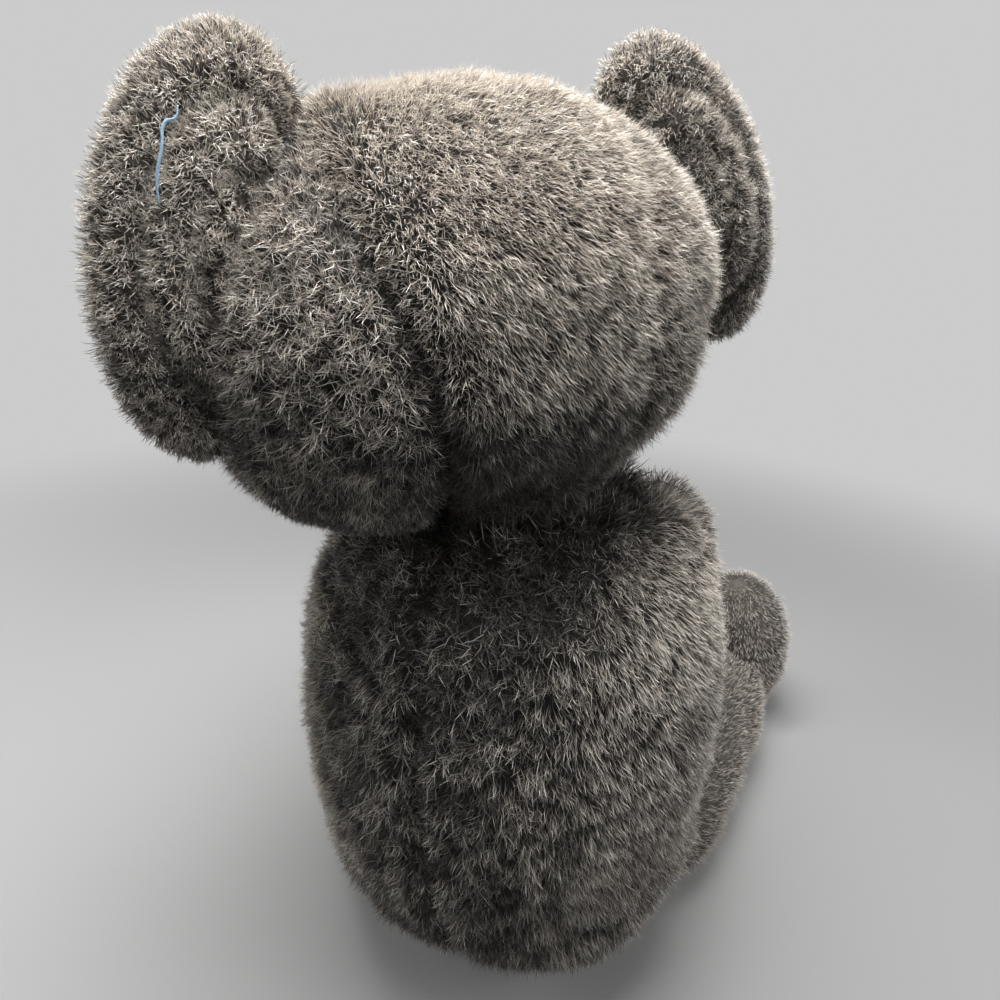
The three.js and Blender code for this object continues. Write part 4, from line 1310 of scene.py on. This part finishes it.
def build_muzzle():
    sizes = MUZZLE_HALF_SIZES
    mesh = mesh_of_rows("muzzle", egg_rows(Egg(*sizes, sizes.z), around=96, along=56))
    press(mesh, lambda points: lumps(points, 20, 31) * 1.2 * MM)
    place(mesh, Matrix.Translation(MUZZLE_PLACE))
    local, normals = points_of(mesh), normals_of(mesh)
    in_skull = spread(local, (SKULL.half_width, SKULL.half_depth, SKULL.drop)) < 0.9
    in_nose = spread(local, NOSE_HALF_SIZES, NOSE_PLACE) < 1.15
    free = np.where(in_skull | in_nose, 0.0, 1.0)
    way = (local - np.array(MUZZLE_PLACE)) * np.array([1, 0.2, 0.6]) + np.array([0, 0, -0.006])
    comb = combed(way, normals, 0.9)
    place(mesh, skull_place)
    skin = add_object("muzzle_skin", mesh, grained_material("cream_backing"))
    grow_pile(skin, "muzzle_pile", "cream", "head", pile_sizes().strands // 8, free,
              turned(comb, skull_place), pile_sizes().cream_length * 0.7,
              0.5 + 0.1 * lumps(local, 15, 33), 0.3, spacing=4 * MM)
    finish_padded(skin, "head", "cream_plush", "muzzle")


def build_nose():
    sizes = NOSE_HALF_SIZES
    shape = Egg(*sizes, sizes.z, NOSE_RISE_POWER)
    mesh = mesh_of_rows("nose", egg_rows(shape, around=96, along=64))
    place(mesh, skull_place @ Matrix.Translation(NOSE_PLACE))
    add_piece("nose_button", mesh, gloss_material(), "head", "black_plastic", "nose")


def lathe(name, profile, around=48):
    """A closed solid turned about Z from (radius, height) pairs that start and end on the axis."""
    turn = np.linspace(0, 2 * math.pi, around, endpoint=False)
    rows = np.array([[(r * math.cos(a), r * math.sin(a), z) for a in turn] for r, z in profile])
    return mesh_of_rows(name, rows)


def build_eyes():
    dome = [(EYE_RADIUS * math.cos(a), EYE_BACK + EYE_DOME_HEIGHT * math.sin(a))
            for a in np.linspace(0, math.pi / 2, 14)[:-1]]
    profile = [
        (0, -EYE_STEM_LENGTH),
        (EYE_STEM_RADIUS, -EYE_STEM_LENGTH),
        (EYE_STEM_RADIUS, EYE_BACK),
        (EYE_BACK_RADIUS, EYE_BACK),
        *dome,
        (0, EYE_BACK + EYE_DOME_HEIGHT),
    ]
    for name, side in SIDES.items():
        mesh = lathe("eye", profile)
        place(mesh, skull_place @ eye_place(side))
        add_piece("eye_button_" + name, mesh, gloss_material(), "head", "black_plastic",
                  "eye_" + name)


# Pads and the belly panel

def patch(name, project, rings=24, around=96):
    """A thin closed pad over the unit disc, laid on the surface that project gives."""
    turn = np.linspace(0, 2 * math.pi, around, endpoint=False)

    def ring_at(share, level):
        return [project(share * math.cos(a), share * math.sin(a), level) for a in turn]

    shares = [ring / rings for ring in range(1, rings + 1)]
    crowned = [PAD_HEIGHT * (0.35 + 0.65 * (1 - s ** 6)) * (1 - s ** 24) for s in shares]
    upper = [ring_at(share, level) for share, level in zip(shares, crowned)]
    lower = [ring_at(share, -PAD_HEIGHT / 3) for share in reversed(shares)]
    top = [[project(0, 0, PAD_HEIGHT)] * around]
    bottom = [[project(0, 0, -PAD_HEIGHT / 3)] * around]
    return mesh_of_rows(name, np.array(top + upper + lower + bottom))


def on_belly(across, up, height):
    x, z = across * BELLY_HALF_WIDTH, BELLY_HEIGHT + up * BELLY_HALF_HEIGHT
    level = z - TORSO_WIDEST_HEIGHT
    rise, power = (float(size) for size in halves(TORSO, level))
    reach = (1 - abs(level / rise) ** power) ** (1 / power)
    depth = TORSO.half_depth * math.sqrt(max(reach ** 2 - (x / TORSO.half_width) ** 2, 0))
    return (x, -depth - height, z)


def build_belly():
    mesh = patch("belly", on_belly)
    points, normals = points_of(mesh), normals_of(mesh)
    skin = add_object("belly_skin", mesh, grained_material("cream_backing"))
    free = np.where(normals[:, 1] < -0.2, 1.0, 0.0)
    comb = combed(DOWN, normals, 0.8)
    grow_pile(skin, "belly_pile", "cream", "torso", pile_sizes().strands // 8, free, comb,
              pile_sizes().cream_length, 0.5 + 0.12 * lumps(points, 20, 35), 0.5)
    finish_piece(skin, "torso", "cream_plush", "belly_panel")


def add_pad(kind, name, on_surface, body, node):
    add_piece(f"{kind}_suede_{name}", patch(kind, on_surface), grained_material("tan_suede"),
              body + name, "tan_plush", node + name)


def build_pads():
    for name, side in SIDES.items():
        arm = limb_on(side, ARM)
        line = (arm.start - arm.end).normalized()
        reach = (arm.start - arm.end).length
        middle = arm.end + line * PAW_PAD_FROM_END
        aside = Vector((1, 0, 0))
        upward = line.cross(aside).normalized()
        outward = upward if upward.y > 0 else -upward

        def on_paw(across, up, height):
            angle = across * PAW_PAD_HALF_ANGLE
            spot = middle + line * up * PAW_PAD_RADIUS * PAW_PAD_LENGTH_SHARE
            share = (spot - arm.end).length / reach
            taper = arm.end_radius + (arm.start_radius - arm.end_radius) * share
            radius = fullness(share, arm.power) * taper + height
            spine = arm.end + line * share * reach
            return spine + (outward * math.cos(angle) + aside * math.sin(angle)) * radius

        add_pad("paw", name, on_paw, "arm_", "paw_pad_")
        foot = foot_frame(side)

        def on_sole(across, up, height):
            x, z = across * SOLE_PAD_HALF_WIDTH, up * SOLE_PAD_HALF_HEIGHT
            reach = 1 - (x / FOOT_HALF_SIZES.x) ** 2 - (z / FOOT_HALF_SIZES.z) ** 2
            return foot @ Vector((x, -FOOT_HALF_SIZES.y * math.sqrt(reach) - height, z))

        add_pad("sole", name, on_sole, "leg_", "sole_pad_")


# Inside the covers

def add_filling(part, suffix, mesh, body, low):
    press(mesh, lambda points: lumps(points, 16, 41) * 2 * MM - 1.5 * MM)
    hold_between(mesh, low)
    add_piece(f"{part}_wadding{suffix}", mesh, grained_material("white_wadding"), body, "wadding",
              f"{part}_stuffing{suffix}")


def build_filling():
    inset = PLUSH_THICKNESS + CLOTH_DEPTH + FILLING_CLEARANCE
    coarse = {"around": 96, "along": 56}
    mesh = torso_mesh(inset, **coarse)
    hold_between(mesh, high=NECK_HEIGHT - 2 * inset)
    add_filling("torso", "", mesh, "torso", inset)
    mesh = mesh_of_rows("head", egg_rows(shrunk(SKULL, inset), **coarse))
    press(mesh, skull_shape)
    place(mesh, skull_place)
    add_filling("head", "", mesh, "head", NECK_HEIGHT + 2 * inset)
    for name, side in SIDES.items():
        suffix = "_" + name
        for part, limb in (("arm", ARM), ("leg", LEG)):
            mesh = mesh_of_rows(part, sausage_rows(limb_on(side, limb, inset)))
            add_filling(part, suffix, mesh, part + suffix, inset)
        add_filling("foot", suffix, foot_mesh(side, -inset), "leg" + suffix, inset)

    half, height = PELLET_BAG_HALF_WIDTH, PELLET_BAG_HALF_HEIGHT
    mesh = mesh_of_rows("bag", egg_rows(Egg(half, half, height, height), **coarse))
    press(mesh, lambda points: (lumps(points, 7, 51) * 1.2 - groove(points[:, 2], 2 * MM) * 2) * MM)
    place(mesh, Matrix.Translation((0, 0, PLUSH_THICKNESS + height + 1 * MM)))
    add_piece("pellet_bag_cloth", mesh, grained_material("bag_weave"), "torso", "bag_cloth",
              "seat_pellet_bag")


def dress_hardware():
    steel = steel_material()
    board, moulding = grained_material("pressed_board"), grained_material("moulded_white")
    for material, nodes in (
        (steel, ("neck_bolt", "neck_washer_lower", "neck_washer_upper", "neck_lock_nut")),
        (board, ("neck_disc_lower", "neck_disc_upper")),
        (moulding, ("nose_washer", "eye_washer_left", "eye_washer_right")),
    ):
        for node in nodes:
            bpy.data.objects[node].material_slots[0].material = material


# Loose thread

def build_thread():
    curve = bpy.data.curves.new("thread", "CURVE")
    curve.dimensions = "3D"
    curve.bevel_depth = THREAD_RADIUS
    curve.bevel_resolution = 1
    curve.resolution_u = 6
    curve.use_fill_caps = True
    line = curve.splines.new("BEZIER")
    line.bezier_points.add(len(THREAD_POINTS) - 1)
    matrix = skull_place @ ear_place(1)
    for knot, (spot, thickness) in zip(line.bezier_points, THREAD_POINTS):
        knot.co = matrix @ spot
        knot.radius = thickness
        knot.handle_left_type = knot.handle_right_type = "AUTO"
    strand = bpy.data.objects.new("thread_curve", curve)
    bpy.context.scene.collection.objects.link(strand)
    graph = bpy.context.evaluated_depsgraph_get()
    mesh = bpy.data.meshes.new_from_object(strand.evaluated_get(graph))
    bpy.data.objects.remove(strand)
    face_outwards(mesh)
    add_piece("loose_thread", mesh, grained_material("blue_cotton"), "head", "grey_plush")


# Camera, light and floor

FAR_LIGHT = 0.6
FADE_START = 0.3
FADE_END = 1.1
LIT_MIDDLE = (0, 0, 0.2)

# Place and size of each panel, in metres
PANELS = {
    "top_light": ((0.03, 0.03, 0.72), 0.36),
    "left_light": ((0.85, 0.3, 0.45), 0.6),
    "right_light": ((-0.85, -0.25, 0.65), 0.6),
}


def add_panel_light(name, spot, size, power):
    data = bpy.data.lights.new(name, "AREA")
    data.size = size
    data.energy = power
    lamp = bpy.data.objects.new(name, data)
    lamp.location = spot
    lamp.rotation_euler = (Vector(LIT_MIDDLE) - Vector(spot)).to_track_quat("-Z", "Y").to_euler()
    bpy.context.scene.collection.objects.link(lamp)


def mirror_like_rays(tree):
    """1 for rays from the camera, off gloss or through glass, and 0 for all others."""
    path = add_node(tree, "ShaderNodeLightPath").outputs
    either = add_node(tree, "ShaderNodeMath", [path["Is Camera Ray"], path["Is Glossy Ray"]],
                      operation="MAXIMUM")
    any_of_them = add_node(tree, "ShaderNodeMath",
                           [either.outputs[0], path["Is Transmission Ray"]], operation="MAXIMUM")
    return any_of_them.outputs[0]


def floor_material():
    """A pale sheet that fades into an even backdrop away from the toy."""
    floor = opaque(bpy.context.scene.koala_stage.floor)
    material, tree, shader = new_material("pale_sheet", {"Roughness": 0.7, "Base Color": floor})
    where = add_node(tree, "ShaderNodeTexCoord")
    apart = add_node(tree, "ShaderNodeVectorMath", [where.outputs["Object"]], operation="LENGTH")
    fade = add_node(tree, "ShaderNodeMapRange",
                    [apart.outputs["Value"], FADE_START, FADE_END, 0.0, 1.0],
                    interpolation_type="SMOOTHSTEP")
    share = add_node(tree, "ShaderNodeMath", [fade.outputs[0], mirror_like_rays(tree)],
                     operation="MULTIPLY")
    far = add_node(tree, "ShaderNodeEmission", [opaque((1, 1, 1)), FAR_LIGHT])
    mixed = add_node(tree, "ShaderNodeMixShader",
                     [share.outputs[0], shader.outputs[0], far.outputs[0]])
    tree.links.new(mixed.outputs[0], tree.nodes["Material Output"].inputs["Surface"])
    return material


def build_stage():
    scene = bpy.context.scene
    stage = scene.koala_stage
    data = bpy.data.cameras.new("photo_camera")
    data.sensor_width = 36
    data.lens = stage.focal_length
    data.clip_start = 5 * MM
    camera = bpy.data.objects.new("photo_camera", data)
    scene.collection.objects.link(camera)
    camera.matrix_world = (
        Matrix.Translation(stage.camera_place)
        @ Matrix.Rotation(math.pi + stage.heading, 4, "Z")
        @ Matrix.Rotation(math.pi / 2 - stage.pitch, 4, "X")
        @ Matrix.Rotation(stage.roll, 4, "Z")
    )
    scene.camera = camera
    for name, (spot, size) in PANELS.items():
        add_panel_light(name, spot, size, getattr(stage, name))

    world = bpy.data.worlds.new("soft_surround")
    scene.world = world
    world.use_nodes = True
    tree = world.node_tree
    background = tree.nodes["Background"]
    background.inputs["Color"].default_value = opaque((1, 1, 1))
    paleness = add_node(tree, "ShaderNodeMapRange",
                        [mirror_like_rays(tree), 0.0, 1.0, stage.surround, FAR_LIGHT])
    tree.links.new(paleness.outputs[0], background.inputs["Strength"])

    bpy.ops.mesh.primitive_plane_add(size=6)
    floor = bpy.context.object
    floor.name = "floor"
    floor.data.materials.append(floor_material())
    scene.view_settings.view_transform = "Standard"


class KOALA_OT_torso(bpy.types.Operator):
    """Makes the stuffed torso and its pile"""

    bl_idname = "koala.torso"
    bl_label = "Torso"

    def execute(self, context):
        build_torso()
        return {"FINISHED"}


class KOALA_OT_head(bpy.types.Operator):
    """Makes the stuffed head and its pile"""

    bl_idname = "koala.head"
    bl_label = "Head"

    def execute(self, context):
        build_head()
        return {"FINISHED"}


class KOALA_OT_ears(bpy.types.Operator):
    """Makes both ears with their linings"""

    bl_idname = "koala.ears"
    bl_label = "Ears"

    def execute(self, context):
        build_ears()
        return {"FINISHED"}


class KOALA_OT_arms(bpy.types.Operator):
    """Makes both arms"""

    bl_idname = "koala.arms"
    bl_label = "Arms"

    def execute(self, context):
        build_arms()
        return {"FINISHED"}


class KOALA_OT_legs(bpy.types.Operator):
    """Makes both legs and feet"""

    bl_idname = "koala.legs"
    bl_label = "Legs and feet"

    def execute(self, context):
        build_legs()
        return {"FINISHED"}


class KOALA_OT_face(bpy.types.Operator):
    """Makes the muzzle, the nose and the eyes"""

    bl_idname = "koala.face"
    bl_label = "Face"

    def execute(self, context):
        build_muzzle()
        build_nose()
        build_eyes()
        return {"FINISHED"}


class KOALA_OT_pads(bpy.types.Operator):
    """Makes the belly panel, the paw pads and the sole pads"""

    bl_idname = "koala.pads"
    bl_label = "Belly panel and pads"

    def execute(self, context):
        build_belly()
        build_pads()
        return {"FINISHED"}


class KOALA_OT_insides(bpy.types.Operator):
    """Makes the filling and the pellet bag and finishes the joint's hardware"""

    bl_idname = "koala.insides"
    bl_label = "Insides"

    def execute(self, context):
        build_filling()
        dress_hardware()
        return {"FINISHED"}


class KOALA_OT_thread(bpy.types.Operator):
    """Makes the loose thread on the left ear"""

    bl_idname = "koala.thread"
    bl_label = "Loose thread"

    def execute(self, context):
        build_thread()
        return {"FINISHED"}


class KOALA_OT_stage(bpy.types.Operator):
    """Sets up the camera, the light and the floor"""

    bl_idname = "koala.stage"
    bl_label = "Stage"

    def execute(self, context):
        build_stage()
        return {"FINISHED"}


class KOALA_PT_panel(bpy.types.Panel):
    """Lists the steps that build the toy"""

    bl_label = "Plush Koala"
    bl_idname = "KOALA_PT_panel"
    bl_space_type = "VIEW_3D"
    bl_region_type = "UI"
    bl_category = "Koala"

    def draw(self, context):
        for step in STEPS:
            self.layout.operator(step.bl_idname)


STEPS = (
    KOALA_OT_stage,
    KOALA_OT_torso,
    KOALA_OT_head,
    KOALA_OT_ears,
    KOALA_OT_arms,
    KOALA_OT_legs,
    KOALA_OT_face,
    KOALA_OT_pads,
    KOALA_OT_insides,
    KOALA_OT_thread,
)
GROUPS = {"koala_pile": KoalaPile, "koala_colours": KoalaColours, "koala_stage": KoalaStage}


def register():
    for known in (*GROUPS.values(), *STEPS, KOALA_PT_panel):
        bpy.utils.register_class(known)
    for name, group in GROUPS.items():
        setattr(bpy.types.Scene, name, PointerProperty(type=group))


def unregister():
    for name in GROUPS:
        delattr(bpy.types.Scene, name)
    for known in (KOALA_PT_panel, *STEPS, *GROUPS.values()):
        bpy.utils.unregister_class(known)


def main():
    register()
    for step in STEPS:
        prefix, name = step.bl_idname.split(".")
        getattr(getattr(bpy.ops, prefix), name)()


if __name__ == "__main__":
    main()
